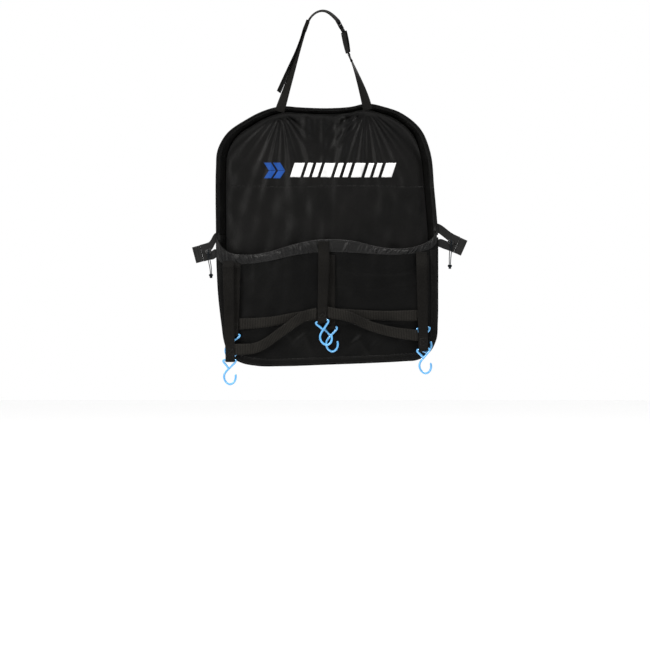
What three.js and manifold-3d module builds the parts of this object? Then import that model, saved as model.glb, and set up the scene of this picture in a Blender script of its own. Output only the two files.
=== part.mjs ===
// Hanging hockey equipment bag: a soft clamshell opened flat, its upper half hung from a webbing strap,
// its lower half a full-width pocket with two webbing ladders that carry six wire hooks.
// Millimetres, +Z up, front towards -Y. The origin is on the underside of the hanging strap at its top.
import * as THREE from 'three';
import { mergeVertices } from 'three/addons/utils/BufferGeometryUtils.js';
import Module from 'manifold-3d';

const wasm = await Module();
wasm.setup();

// --- driving dimensions ---
const GAP = 0.3; // clearance between separate pieces
const BAG_X = 12.3; // middle of the bag, beside the hanging point
const FOLD_Z = -629; // line on which the two halves fold together
const RIM_Y = 2; // front edge of the soft walls
const WALL_BACK_Y = 45; // back edge of the soft walls
const PANEL_THICK = 3.5; // padded back panels
const LINING_THICK = 1.2;
const WALL_THICK = 2;
const TAPE_SHARE = 0.26; // share of the wall's slope that is zip tape
const WALL_FLARE_X = 0.923; // back outline over rim outline, sideways
const WALL_FLARE_TOP = 0.969; // the same, upwards
const WALL_FLARE_BOTTOM = 0.945; // the same, downwards
const RIM_STEPS = 44;

// rim outlines as [X, Z], from the left end at the fold round to the right end
const UPPER_RIM = [
  [-298, -612], [-299, -520], [-298, -440], [-294, -391], [-268, -343], [-214, -304], [-164, -279],
  [-117, -267], [-60, -270], [20, -272], [80, -268], [124, -259], [175, -269], [219, -285],
  [275, -332], [300, -391], [312, -498], [322, -612],
];
const LOWER_RIM = [
  [-298, -646], [-296, -720], [-292, -794], [-283, -873], [-274, -930], [-261, -962], [-229, -983],
  [-186, -992], [-108, -993], [9, -989], [140, -984], [232, -979], [264, -976], [298, -956],
  [318, -918], [322, -870], [323, -780], [323, -646],
];

// pocket mouth: top and lower edges of the gathered hem as [X, Z]
const HEM_TOP = [
  [-296, -637], [-282, -660], [-263, -675], [-209, -682], [-156, -675], [-77, -652], [-13, -640],
  [24, -639], [88, -644], [155, -660], [219, -665], [273, -655], [306, -642], [319, -634],
];
const HEM_LOW = [
  [-296, -690], [-282, -702], [-263, -708], [-209, -708], [-156, -701], [-77, -684], [-13, -676],
  [24, -675], [88, -677], [155, -679], [219, -679], [273, -673], [306, -666], [319, -656],
];
const HEM_STEPS = 32;
const HEM_THICK = 1.2;
const HEM_LAYER_APART = 4; // between the middles of the two layers
const HEM_FORWARD = 9; // how far the middle of the mouth stands forward
const HEM_CLEAR = 3.5; // pocket front below the hem's edge
const ELASTIC_THICK = 1.2;
const POCKET_THICK = 1.5;
const POCKET_FORWARD = 8;
const POCKET_FOOT = [-276, 318]; // left and right ends of the pocket's foot

// webbing ladders and hooks
const WEB_THICK = 2.2;
const WEB_TOP_WIDTH = 30;
const WEB_END_WIDTH = 24.4;
const FRONT_Y = -28.5;
const BACK_Y = -15.5;
const LADDER_TOP_Z = -720; // top of the parts that lift
const ANCHOR_END_Z = -716; // lower end of the parts sewn under the hem
const LOOP_R = 4.9; // middle of the webbing round the hook's bar
const LOOP_LEAVE = 7; // where the webbing starts to open, above the bar
const LOOP_LAYER = 1.5; // half the distance between the two layers
const LOOP_RETURN = 30; // length of the sewn-back layer
const WIRE_R = 2.25;
const WIRE_SIDES = 8;
const HOOK_STEPS = 34;
// middle line of the hook's wire as [X, Z] from the middle of its bar
const HOOK_WIRE = [
  [-4.6, -20.6], [-11, -12.2], [-16.6, -5.2], [-17.3, -1.2], [-14.2, 0], [-7, 0], [0, 0], [7, 0],
  [14.2, 0], [17.3, -1.2], [16.6, -5.2], [9, -13.5], [-2, -24.4], [-9.5, -32], [-14.6, -42],
  [-13.8, -54], [-8, -63], [0.8, -67.5], [9.5, -64.5], [15.2, -57], [17.2, -49], [17, -42],
];
// each hanger: the strap's top X, the hook bar's X and Z, its slope in degrees, and its sewn anchor
const HANGERS = [
  { name: 'front_left', y: FRONT_Y, top: -263, x: -259, z: -976, tilt: 0, from: [-9, -700] },
  { name: 'front_centre', y: FRONT_Y, top: 3.4, x: -1.5, z: -868, tilt: 12, from: [-15.2, -645] },
  { name: 'front_right', y: FRONT_Y, top: 276.6, x: 280.6, z: -946, tilt: 5, from: [-9.5, -674] },
  { name: 'back_left', y: BACK_Y, top: -244, x: -248, z: -903, tilt: -10, from: [-10.5, -710.5] },
  { name: 'back_centre', y: BACK_Y, top: 19.3, x: 22.7, z: -885, tilt: 3, from: [-14.2, -683] },
  { name: 'back_right', y: BACK_Y, top: 281, x: 281, z: -887, tilt: 6, from: [-8.4, -684] },
];
// cross straps as [X, Z] along their middles, between the edges of the upright straps
const CROSS = {
  front_cross_left: {
    y: FRONT_Y,
    path: [[-245, -947], [-186, -942], [-105, -891], [-52, -855], [-17.3, -846]],
  },
  front_cross_right: {
    y: FRONT_Y,
    path: [[14.2, -843], [75, -856], [133, -881], [190, -897], [264.8, -908]],
  },
  back_cross_left: { y: BACK_Y, path: [[-231.6, -876], [-150, -870], [-70, -856], [6.8, -849]] },
  back_cross_right: { y: BACK_Y, path: [[37.6, -848], [120, -851], [200, -853], [265.8, -852]] },
};
const CROSS_WIDTH = 30;
const CROSS_STEPS = 14;

// hanging strap
const STRAP_THICK = 2.4;
const STRAP_WIDTH = 25;
const STRAP_FOOT_WIDTH = 27;
const STRAP_LINE = [
  [-120.5, -281], [-116.5, -268], [-93, -194], [-68, -112], [-52.4, -64], [-47.2, -49], [-41.6, -33],
  [-38, -24.4], [-27, -10.4], [-13.6, -1.6], [0, 1.2], [13.4, -1.8], [27.6, -11.4], [35.4, -18.8],
  [41.4, -25.1],
];
const STRAP_STEPS = 54;
const STRAP_TWIST = [0.1, 0.62]; // shares of its length between which it turns from flat to edge-on
const TAIL_LINE = [[-46.4, -36.8], [-51.3, -51], [-57, -67], [-75.5, -108], [-100, -162], [-124.5, -226]];
const TAIL_STEPS = 16;
const KEEPER = { at: [-45.6, -40.6], turn: 19.3, length: 30, width: 31, thick: 10, slot: 7, slotWidth: 27 };
const BUCKLE = { at: [47.6, -36.5], turn: -28, length: 24, width: 32, thick: 9 };
const BUCKLE_ROOM = { length: 19, width: 24, thick: 5.4 };
const MALE_BASE = { length: 11, width: 27, thick: 7.4 };
const MALE_TONGUE = { length: 16.5, width: 22, thick: 4.2 };
const BUCKLE_SPLIT = 0.6; // gap between the closed halves
const DOUBLED = { from: [59.9, -60.2], to: [72.4, -118.5], thick: 4.6, width: 25, steps: 10 };
const GLIDE = { at: [77.6, -131.4], turn: -24, length: 20, width: 33, thick: 3.2, bar: 3.2 };
const RIGHT_LINE = [[83.2, -143.4], [100, -187], [122.4, -258], [125.4, -270]];
const RIGHT_STEPS = 22;

// zip ends that stand out at both sides of the fold: middle of the end edge, direction, where strands start
const ZIP_Y = 6.5;
const TAPE_THICK = 1.6;
const ZIP_SIDES = {
  left: { end: [-360, -683], out: [-0.966, -0.26], upper: [-301.5, -634], lower: [-301.5, -677], lean: 8 },
  right: { end: [396.7, -663], out: [0.914, -0.406], upper: [326.5, -608], lower: [326.5, -648], lean: -3 },
};
const TAB_LENGTH = 22;
const TAB_WIDTH = 46;
const TAB_THICK = 3.6;
const STRAND_WIDTH = 21;
const STRAND_SPLIT = 3; // each strand's inner edge from the slider's middle line
const STRAND_RUN = 24; // straight part, between the slider and the end tab
const SLIDER_BACK = 5; // slider's middle from the start of the straight part
const SLIDER = { length: 18, width: 13, plate: 1.8, apart: 3.2, post: 4 };
const EYE_RISE = 4.4; // height of the slider's bridge
const CORD_R = 1.2;
const CORD_SIDES = 8;
const CORD_DROP = 68; // from the bridge to the knot's middle; lean is how far the knot hangs sideways
const KNOT_R = 5.4;

// --- materials ---
const material = (color, roughness, metalness = 0) =>
  new THREE.MeshStandardMaterial({ color, roughness, metalness });
const LOOKS = {
  shell: () => material(0x171615, 0.62),
  lining: () => material(0x1d1b1a, 0.5),
  webbing: () => material(0x2a2824, 0.85),
  tape: () => material(0x141414, 0.75),
  elastic: () => material(0x222222, 0.9),
  plastic: () => material(0x0c0c0d, 0.35),
  wire: () => material(0x5db1f2, 0.25, 0.1),
  slider: () => material(0x161616, 0.4, 0.6),
  cord: () => material(0x1b2026, 0.85),
};

const bag = new THREE.Group();
bag.name = 'hockey_equipment_bag';

// --- helpers ---
function weld(geometry) {
  geometry.deleteAttribute('normal');
  geometry.deleteAttribute('uv');
  const welded = mergeVertices(geometry, 1e-4);
  const p = welded.attributes.position;
  const index = welded.index;
  const corner = [0, 1, 2].map(() => new THREE.Vector3());
  let volume = 0;
  for (let i = 0; i < index.count; i += 3) {
    corner.forEach((c, k) => c.fromBufferAttribute(p, index.getX(i + k)));
    volume += corner[0].dot(corner[1].clone().cross(corner[2]));
  }
  if (volume < 0) {
    for (let i = 0; i < index.count; i += 3) {
      const first = index.getX(i);
      index.setX(i, index.getX(i + 1));
      index.setX(i + 1, first);
    }
  }
  welded.computeVertexNormals();
  return welded;
}

function add(name, geometry, look) {
  const mesh = new THREE.Mesh(weld(geometry), LOOKS[look]());
  mesh.name = name;
  bag.add(mesh);
}

// A closed sheet of even thickness over a surface given by two parameters from 0 to 1.
function skin(along, across, thickness, surfaceAt) {
  const geometry = new THREE.BoxGeometry(1, 1, 1, along, across, 1);
  const p = geometry.attributes.position;
  const step = 1e-3;
  for (let i = 0; i < p.count; i += 1) {
    const s = p.getX(i) + 0.5;
    const a = p.getY(i) + 0.5;
    const side = p.getZ(i);
    const s0 = Math.min(Math.max(s, step), 1 - step);
    const a0 = Math.min(Math.max(a, step), 1 - step);
    const ds = surfaceAt(s0 + step, a0).sub(surfaceAt(s0 - step, a0));
    const da = surfaceAt(s0, a0 + step).sub(surfaceAt(s0, a0 - step));
    const normal = ds.cross(da).normalize();
    const at = surfaceAt(s, a).addScaledVector(normal, side * thickness);
    p.setXYZ(i, at.x, at.y, at.z);
  }
  return geometry;
}

function circle(radius, sides) {
  const points = [];
  for (let i = 0; i < sides; i += 1) {
    const angle = (i / sides) * Math.PI * 2;
    points.push(new THREE.Vector2(Math.cos(angle) * radius, Math.sin(angle) * radius));
  }
  return new THREE.Shape(points);
}

function tube(points, radius, steps, sides) {
  const extrudePath = new THREE.CatmullRomCurve3(points, false, 'centripetal');
  return new THREE.ExtrudeGeometry(circle(radius, sides), { steps, extrudePath, bevelEnabled: false });
}

// A plate with an outline of [X, Z] points between two depths.
function plate(outline, frontY, backY) {
  const shape = new THREE.Shape(outline.map(([x, z]) => new THREE.Vector2(x, z)));
  const geometry = new THREE.ExtrudeGeometry(shape, { depth: backY - frontY, bevelEnabled: false });
  const p = geometry.attributes.position;
  for (let i = 0; i < p.count; i += 1) p.setXYZ(i, p.getX(i), frontY + p.getZ(i), p.getY(i));
  return geometry;
}

function curveXZ(points, y = 0) {
  const line = points.map(([x, z]) => new THREE.Vector3(x, y, z));
  return new THREE.CatmullRomCurve3(line, false, 'centripetal');
}

// Z of a left-to-right line at a given X.
function heightOf(points) {
  const line = curveXZ(points).getPoints(120);
  return (x) => {
    const k = Math.max(1, line.findIndex((q, i) => i > 0 && (q.x >= x || i === line.length - 1)));
    const share = THREE.MathUtils.clamp((x - line[k - 1].x) / (line[k].x - line[k - 1].x), 0, 1);
    return THREE.MathUtils.lerp(line[k - 1].z, line[k].z, share);
  };
}

function toManifold(geometry) {
  const welded = weld(geometry);
  const mesh = new wasm.Mesh({
    numProp: 3,
    vertProperties: new Float32Array(welded.attributes.position.array),
    triVerts: new Uint32Array(welded.index.array),
  });
  return new wasm.Manifold(mesh);
}

function fromManifold(body) {
  const mesh = body.getMesh();
  const geometry = new THREE.BufferGeometry();
  geometry.setAttribute('position', new THREE.BufferAttribute(new Float32Array(mesh.vertProperties), 3));
  geometry.setIndex(new THREE.BufferAttribute(new Uint32Array(mesh.triVerts), 1));
  geometry.setAttribute('normal', new THREE.BufferAttribute(new Float32Array(mesh.vertProperties.length), 3));
  geometry.setAttribute('uv', new THREE.BufferAttribute(new Float32Array(mesh.vertProperties.length), 3));
  return geometry;
}

function cut(body, ...tools) {
  return fromManifold(tools.reduce((left, tool) => left.subtract(toManifold(tool)), toManifold(body)));
}

function join(...bodies) {
  return fromManifold(bodies.map(toManifold).reduce((sum, body) => sum.add(body)));
}

// A block whose length runs down a strap that is turned about Y, width along Y, at [X, Z] plus an offset
// along and across the strap.
function block(length, width, thick, at, turn, down = 0, aside = 0) {
  const geometry = new THREE.BoxGeometry(thick, width, length);
  geometry.translate(aside, 0, -down);
  geometry.rotateY(THREE.MathUtils.degToRad(turn));
  geometry.translate(at[0], 0, at[1]);
  return geometry;
}

// --- soft shell of each half ---
function backOutline(x, z) {
  const flare = z > FOLD_Z ? WALL_FLARE_TOP : WALL_FLARE_BOTTOM;
  return [BAG_X + (x - BAG_X) * WALL_FLARE_X, FOLD_Z + (z - FOLD_Z) * flare];
}

function wall(curve, from, to) {
  return (s, a) => {
    const rim = curve.getPointAt(s);
    const [x, z] = backOutline(rim.x, rim.z);
    const share = from + (to - from) * a;
    const lerp = THREE.MathUtils.lerp;
    return new THREE.Vector3(lerp(x, rim.x, share), lerp(WALL_BACK_Y, RIM_Y, share), lerp(z, rim.z, share));
  };
}

function half(name, rim, foldSide) {
  const curve = curveXZ(rim);
  const fabricEnd = 1 - TAPE_SHARE;
  const tapeStart = fabricEnd + 0.006;
  add(`${name}_wall`, skin(RIM_STEPS, 1, WALL_THICK, wall(curve, 0.012, fabricEnd)), 'shell');
  add(`${name}_zip_tape`, skin(RIM_STEPS, 1, TAPE_THICK, wall(curve, tapeStart, 1)), 'tape');
  const outline = curve.getSpacedPoints(RIM_STEPS).map((q) => backOutline(q.x, q.z));
  const foldZ = FOLD_Z + foldSide * GAP;
  const closed = [[outline[0][0], foldZ], ...outline, [outline.at(-1)[0], foldZ]];
  const backY = WALL_BACK_Y + 1;
  add(`${name}_back_panel`, plate(closed, backY, backY + PANEL_THICK), 'shell');
  return closed;
}

const upperOutline = half('upper', UPPER_RIM, 1);
half('lower', LOWER_RIM, -1);

// inner lining of the upper half, just in front of its back panel and inside the walls
const liningOutline = upperOutline.map(([x, z]) => {
  const inX = BAG_X + (x - BAG_X) * 0.985;
  return [inX, FOLD_Z + (z - FOLD_Z) * 0.985 + 1];
});
const liningBack = WALL_BACK_Y + 1 - GAP;
add('upper_lining', plate(liningOutline, liningBack - LINING_THICK, liningBack), 'lining');

// --- pocket ---
const hemTop = heightOf(HEM_TOP);
const hemLow = heightOf(HEM_LOW);
const hemEnds = [HEM_TOP[0][0], HEM_TOP.at(-1)[0]];
const arched = (s) => Math.sin(Math.PI * THREE.MathUtils.clamp(s, 0.004, 0.996)) ** 0.7;
const hemY = (s) => -2.6 - (HEM_FORWARD - 1.6) * arched(s);

// folded band: up the front layer, over the top edge and down the back layer
function hemSurface(s, a) {
  const x = THREE.MathUtils.lerp(hemEnds[0], hemEnds[1], s);
  const r = HEM_LAYER_APART / 2;
  const top = hemTop(x) - r;
  const low = hemLow(x);
  const layer = 1 / 3;
  if (a <= layer) return new THREE.Vector3(x, hemY(s) - r, THREE.MathUtils.lerp(low, top, a / layer));
  if (a >= 1 - layer) {
    return new THREE.Vector3(x, hemY(s) + r, THREE.MathUtils.lerp(top, low, (a - 1 + layer) / layer));
  }
  const turn = ((a - layer) / (1 - 2 * layer)) * Math.PI;
  return new THREE.Vector3(x, hemY(s) - r * Math.cos(turn), top + r * Math.sin(turn));
}
add('pocket_hem', skin(HEM_STEPS, 9, HEM_THICK, hemSurface), 'shell');
add(
  'hem_elastic',
  skin(HEM_STEPS, 1, ELASTIC_THICK, (s, a) => {
    const x = THREE.MathUtils.lerp(hemEnds[0] + 1, hemEnds[1] - 1, s);
    const top = hemTop(x) - HEM_LAYER_APART / 2 - 0.6;
    return new THREE.Vector3(x, hemY(s), THREE.MathUtils.lerp(top, hemLow(x) + 4, a));
  }),
  'elastic',
);
const footRim = heightOf(LOWER_RIM.filter(([, z]) => z < -860));
add(
  'pocket_front',
  skin(22, 8, POCKET_THICK, (s, a) => {
    const topX = THREE.MathUtils.lerp(hemEnds[0], hemEnds[1], s);
    const footX = THREE.MathUtils.lerp(POCKET_FOOT[0], POCKET_FOOT[1], s);
    const z = THREE.MathUtils.lerp(hemLow(topX) - HEM_CLEAR, footRim(footX) + 5, a);
    const y = -0.4 - (POCKET_FORWARD * (1 - 0.7 * a) + 1) * arched(s);
    return new THREE.Vector3(THREE.MathUtils.lerp(topX, footX, a), y, z);
  }),
  'shell',
);

// --- webbing ladders with their hooks ---
function hangerPath(h) {
  const points = [new THREE.Vector2(h.y, LADDER_TOP_Z), new THREE.Vector2(h.y, h.z + LOOP_RETURN + 8)];
  points.push(new THREE.Vector2(h.y - LOOP_LAYER, h.z + LOOP_RETURN));
  points.push(new THREE.Vector2(h.y - LOOP_LAYER, h.z + LOOP_LEAVE));
  const turns = 9;
  for (let i = 0; i <= turns; i += 1) {
    const angle = Math.PI * (0.92 + (i / turns) * 1.16);
    points.push(new THREE.Vector2(h.y + LOOP_R * Math.cos(angle), h.z + LOOP_R * Math.sin(angle)));
  }
  points.push(new THREE.Vector2(h.y + LOOP_LAYER, h.z + LOOP_LEAVE));
  points.push(new THREE.Vector2(h.y + LOOP_LAYER, h.z + LOOP_RETURN));
  return points;
}

function alongLine(points, s) {
  const t = THREE.MathUtils.clamp(s, 0, 1) * (points.length - 1);
  const k = Math.min(Math.floor(t), points.length - 2);
  return points[k].clone().lerp(points[k + 1], t - k);
}

for (const h of HANGERS) {
  const path = hangerPath(h);
  const slope = Math.tan(THREE.MathUtils.degToRad(h.tilt));
  const down = (z) => THREE.MathUtils.clamp((z - LADDER_TOP_Z) / (h.z - LADDER_TOP_Z), 0, 1);
  add(
    `${h.name}_strap`,
    skin(path.length - 1, 1, WEB_THICK, (s, a) => {
      const at = alongLine(path, s);
      const share = down(at.y);
      const width = THREE.MathUtils.lerp(WEB_TOP_WIDTH, WEB_END_WIDTH, share);
      const aside = (a - 0.5) * width;
      const x = THREE.MathUtils.lerp(h.top, h.x, share) + aside;
      return new THREE.Vector3(x, at.x, at.y + aside * slope * share);
    }),
    'webbing',
  );
  const [fromY, fromZ] = h.from;
  add(
    `${h.name}_anchor`,
    skin(6, 1, WEB_THICK, (s, a) => {
      const x = h.top + (a - 0.5) * WEB_TOP_WIDTH;
      const y = THREE.MathUtils.lerp(fromY, h.y, s * s * (3 - 2 * s));
      return new THREE.Vector3(x, y, THREE.MathUtils.lerp(fromZ, ANCHOR_END_Z, s));
    }),
    'webbing',
  );
  const turn = THREE.MathUtils.degToRad(h.tilt);
  const wire = HOOK_WIRE.map(([x, z]) => {
    const wx = h.x + x * Math.cos(turn) - z * Math.sin(turn);
    return new THREE.Vector3(wx, h.y, h.z + x * Math.sin(turn) + z * Math.cos(turn));
  });
  add(`${h.name}_hook`, tube(wire, WIRE_R, HOOK_STEPS, WIRE_SIDES), 'wire');
}

for (const [name, cross] of Object.entries(CROSS)) {
  const line = curveXZ(cross.path, cross.y);
  add(
    name,
    skin(CROSS_STEPS, 1, WEB_THICK, (s, a) => {
      const at = line.getPoint(s);
      return at.setZ(at.z + (a - 0.5) * CROSS_WIDTH);
    }),
    'webbing',
  );
}

// --- hanging strap ---
// Ribbon along a line in the XZ plane; edgeOn gives how far its width has turned from the line's plane to Y.
function ribbon(points, steps, thickness, width, edgeOn) {
  const line = curveXZ(points);
  return skin(steps, 1, thickness, (s, a) => {
    const at = line.getPointAt(s);
    const along = line.getTangentAt(s);
    const sideways = new THREE.Vector3(-along.z, 0, along.x).normalize();
    const turn = edgeOn(s) * (Math.PI / 2);
    const across = sideways.multiplyScalar(Math.cos(turn)).add(new THREE.Vector3(0, Math.sin(turn), 0));
    return at.addScaledVector(across, (a - 0.5) * width(s));
  });
}

const smooth = (s, from, to) => THREE.MathUtils.smoothstep(s, from, to);
const strapWidth = (s) => THREE.MathUtils.lerp(STRAP_FOOT_WIDTH, STRAP_WIDTH, smooth(s, 0, 0.3));
add(
  'hang_strap',
  ribbon(STRAP_LINE, STRAP_STEPS, STRAP_THICK, strapWidth, (s) => smooth(s, STRAP_TWIST[0], STRAP_TWIST[1])),
  'webbing',
);
add(
  'strap_tail',
  ribbon(TAIL_LINE, TAIL_STEPS, STRAP_THICK - 0.4, () => STRAP_WIDTH - 1, () => 1),
  'webbing',
);
add(
  'strap_keeper',
  cut(
    block(KEEPER.length, KEEPER.width, KEEPER.thick, KEEPER.at, KEEPER.turn),
    block(KEEPER.length + 10, KEEPER.slotWidth, KEEPER.slot, KEEPER.at, KEEPER.turn),
  ),
  'plastic',
);
const roomDown = (BUCKLE.length - BUCKLE_ROOM.length) / 2 + 1;
add(
  'buckle_female',
  cut(
    block(BUCKLE.length, BUCKLE.width, BUCKLE.thick, BUCKLE.at, BUCKLE.turn),
    block(BUCKLE_ROOM.length + 2, BUCKLE_ROOM.width, BUCKLE_ROOM.thick, BUCKLE.at, BUCKLE.turn, roomDown),
  ),
  'plastic',
);
const baseDown = BUCKLE.length / 2 + BUCKLE_SPLIT + MALE_BASE.length / 2;
const tongueDown = BUCKLE.length / 2 + BUCKLE_SPLIT + 1 - MALE_TONGUE.length / 2;
add(
  'buckle_male',
  join(
    block(MALE_BASE.length, MALE_BASE.width, MALE_BASE.thick, BUCKLE.at, BUCKLE.turn, baseDown),
    block(MALE_TONGUE.length, MALE_TONGUE.width, MALE_TONGUE.thick, BUCKLE.at, BUCKLE.turn, tongueDown),
  ),
  'plastic',
);
add(
  'strap_doubled',
  ribbon([DOUBLED.from, DOUBLED.to], DOUBLED.steps, DOUBLED.thick, () => DOUBLED.width, () => 1),
  'webbing',
);
add(
  'strap_glide',
  cut(
    block(GLIDE.length, GLIDE.width, GLIDE.thick, GLIDE.at, GLIDE.turn),
    block(GLIDE.length / 2 - GLIDE.bar * 1.5, GLIDE.width - GLIDE.bar * 2, 9, GLIDE.at, GLIDE.turn, 4.2),
    block(GLIDE.length / 2 - GLIDE.bar * 1.5, GLIDE.width - GLIDE.bar * 2, 9, GLIDE.at, GLIDE.turn, -4.2),
  ),
  'plastic',
);
add(
  'strap_right',
  ribbon(RIGHT_LINE, RIGHT_STEPS, STRAP_THICK, () => STRAP_WIDTH + 1, (s) => 1 - smooth(s, 0.02, 0.95)),
  'webbing',
);

// --- zip ends at both sides of the fold ---
for (const [side, zip] of Object.entries(ZIP_SIDES)) {
  const out = new THREE.Vector3(zip.out[0], 0, zip.out[1]).normalize();
  const up = new THREE.Vector3(-out.z, 0, out.x).multiplyScalar(out.x < 0 ? -1 : 1);
  const place = (along, across, y = ZIP_Y) => {
    const at = new THREE.Vector3(zip.end[0], y, zip.end[1]);
    return at.addScaledVector(out, along).addScaledVector(up, across);
  };
  add(
    `${side}_zip_tab`,
    skin(4, 2, TAB_THICK, (s, a) => place(-TAB_LENGTH * (1 - s), (a - 0.5) * TAB_WIDTH)),
    'tape',
  );
  const straightFrom = -TAB_LENGTH - STRAND_RUN;
  for (const [name, sign] of [['upper', 1], ['lower', -1]]) {
    const middle = sign * (STRAND_SPLIT + STRAND_WIDTH / 2);
    const start = new THREE.Vector3(zip[name][0], ZIP_Y, zip[name][1]);
    const line = new THREE.CatmullRomCurve3(
      [
        start,
        place(straightFrom - 3, middle * 1.08),
        place(straightFrom + 6, middle),
        place(-TAB_LENGTH - GAP, middle),
      ],
      false,
      'centripetal',
    );
    add(
      `${side}_zip_strand_${name}`,
      skin(10, 1, TAPE_THICK, (s, a) => line.getPoint(s).addScaledVector(up, (a - 0.5) * STRAND_WIDTH)),
      'tape',
    );
  }
  const turn = Math.atan2(out.z, out.x);
  const sliderPart = (length, thick, width, along, y) => {
    const geometry = new THREE.BoxGeometry(length, thick, width);
    geometry.rotateY(-turn);
    const at = place(straightFrom + SLIDER_BACK + along, 0, y);
    return geometry.translate(at.x, at.y, at.z);
  };
  const plateY = SLIDER.apart / 2 + SLIDER.plate / 2;
  const bridgeY = ZIP_Y - SLIDER.apart / 2 - SLIDER.plate;
  const full = SLIDER.apart + SLIDER.plate * 2;
  const bridge = cut(
    sliderPart(12, EYE_RISE + 1, 3.4, 0, bridgeY - EYE_RISE / 2 + 0.5),
    sliderPart(8, EYE_RISE - 0.4, 8, 0, bridgeY - EYE_RISE / 2 + 0.9),
  );
  add(
    `${side}_slider`,
    join(
      sliderPart(SLIDER.length, SLIDER.plate, SLIDER.width, 0, ZIP_Y - plateY),
      sliderPart(SLIDER.length, SLIDER.plate, SLIDER.width, 0, ZIP_Y + plateY),
      sliderPart(SLIDER.post, full - 1, SLIDER.post, -SLIDER.length / 2 + SLIDER.post / 2, ZIP_Y),
      bridge,
    ),
    'slider',
  );
  // doubled pull cord: from the knot up, through the bridge and down to the knot again
  const eye = place(straightFrom + SLIDER_BACK, 0, bridgeY - CORD_R - 0.2);
  const knotY = eye.y - 2.2;
  const knotTop = eye.z - CORD_DROP + KNOT_R;
  const strand = (dx, dy, z, share = 0) => new THREE.Vector3(eye.x + dx + zip.lean * share, eye.y + dy, z);
  const cordPath = [
    strand(-1.5, -2.2, knotTop + 0.4, 1),
    strand(-1.6, -2.6, knotTop + 16, 0.86),
    strand(-1.6, -2.8, eye.z - 24, 0.34),
    strand(-1.4, -2.4, eye.z - 9, 0.06),
    strand(-0.6, -1.1, eye.z - 4.5),
    strand(0, -0.1, eye.z - 2),
    strand(0, -0.1, eye.z + 2),
    strand(0.5, -2.2, eye.z + 4.6),
    strand(1.4, -5.4, eye.z + 2.5),
    strand(1.9, -5.8, eye.z - 3),
    strand(1.9, -5.2, eye.z - 10, 0.06),
    strand(1.8, -4.2, eye.z - 24, 0.34),
    strand(1.7, -3.2, knotTop + 16, 0.86),
    strand(1.5, -2.2, knotTop + 0.4, 1),
  ];
  add(`${side}_pull_cord`, tube(cordPath, CORD_R, 36, CORD_SIDES), 'cord');
  const knot = new THREE.SphereGeometry(KNOT_R, 10, 8);
  knot.scale(0.95, 0.8, 1);
  knot.translate(eye.x + zip.lean, knotY, knotTop - KNOT_R - GAP + 0.2);
  add(`${side}_pull_knot`, knot, 'cord');
}

export default bag;
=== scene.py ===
"""Looks of a hanging hockey equipment bag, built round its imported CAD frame."""

import math

import bmesh
import bpy
import numpy as np
from mathutils import Matrix, Vector


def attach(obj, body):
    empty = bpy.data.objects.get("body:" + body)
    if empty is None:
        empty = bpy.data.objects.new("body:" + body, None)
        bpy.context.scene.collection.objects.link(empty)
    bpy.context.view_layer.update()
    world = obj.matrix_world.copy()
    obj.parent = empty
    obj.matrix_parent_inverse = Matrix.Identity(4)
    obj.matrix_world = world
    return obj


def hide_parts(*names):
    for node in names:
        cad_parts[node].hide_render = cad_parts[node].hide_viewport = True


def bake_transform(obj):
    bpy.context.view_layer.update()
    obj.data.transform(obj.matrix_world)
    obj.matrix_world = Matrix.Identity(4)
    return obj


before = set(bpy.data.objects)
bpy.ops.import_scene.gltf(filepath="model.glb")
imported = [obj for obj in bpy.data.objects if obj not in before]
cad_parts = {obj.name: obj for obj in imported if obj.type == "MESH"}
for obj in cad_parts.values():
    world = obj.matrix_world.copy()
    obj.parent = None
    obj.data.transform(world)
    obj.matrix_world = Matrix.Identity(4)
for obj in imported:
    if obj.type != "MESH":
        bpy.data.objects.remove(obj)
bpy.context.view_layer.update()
MM = 0.001

# ---- camera
VIEW_WIDTH = 1.82  # metres across the frame at the bag
CAMERA_FAR = 4.6
AIM = (0.0067, 0.0, -0.8785)
camera = bpy.data.objects.new("camera", bpy.data.cameras.new("camera"))
bpy.context.scene.collection.objects.link(camera)
camera.location = (AIM[0], -CAMERA_FAR, AIM[2])
camera.rotation_euler = (math.radians(90), 0, 0)
camera.data.lens = 36.0 * CAMERA_FAR / VIEW_WIDTH
camera.data.sensor_width = 36.0
camera.data.clip_end = 60
bpy.context.scene.camera = camera
bpy.context.scene.view_settings.view_transform = "Standard"

# ---- dimensions, in millimetres
BAG_X = 12.3
FOLD_Z = -629.0
RIM_Y = 2.0
WALL_BACK_Y = 45.0
FLARE_X, FLARE_TOP, FLARE_BOTTOM = 0.923, 0.969, 0.945
UPPER_RIM = [
    (-298, -626), (-298, -612), (-299, -520), (-298, -440), (-294, -391), (-268, -343), (-214, -304),
    (-164, -279), (-117, -267), (-60, -270), (20, -272), (80, -268), (124, -259), (175, -269), (219, -285),
    (275, -332), (300, -391), (312, -498), (322, -612), (323, -626),
]
LOWER_RIM = [
    (-298, -632), (-298, -646), (-296, -720), (-292, -794), (-283, -873), (-274, -930), (-261, -962),
    (-229, -983), (-186, -992), (-108, -993), (9, -989), (140, -984), (232, -979), (264, -976),
    (298, -956), (318, -918), (322, -870), (323, -780), (323, -646), (323, -632),
]
HEM_TOP = [
    (-297, -634), (-282, -660), (-263, -675), (-209, -682), (-156, -675), (-77, -652), (-13, -640),
    (24, -639), (88, -644), (155, -660), (219, -665), (273, -655), (306, -636), (320, -616),
]
HEM_LOW = [
    (-297, -692), (-282, -705), (-263, -708), (-209, -708), (-156, -701), (-77, -684), (-13, -676),
    (24, -675), (88, -677), (155, -681), (219, -682), (273, -675), (306, -662), (320, -648),
]
POCKET_FOOT = (-277.0, 319.0)
FRONT_Y, BACK_Y = -28.5, -15.5
LADDER_TOP_Z, ANCHOR_END_Z = -720.0, -716.0
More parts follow.
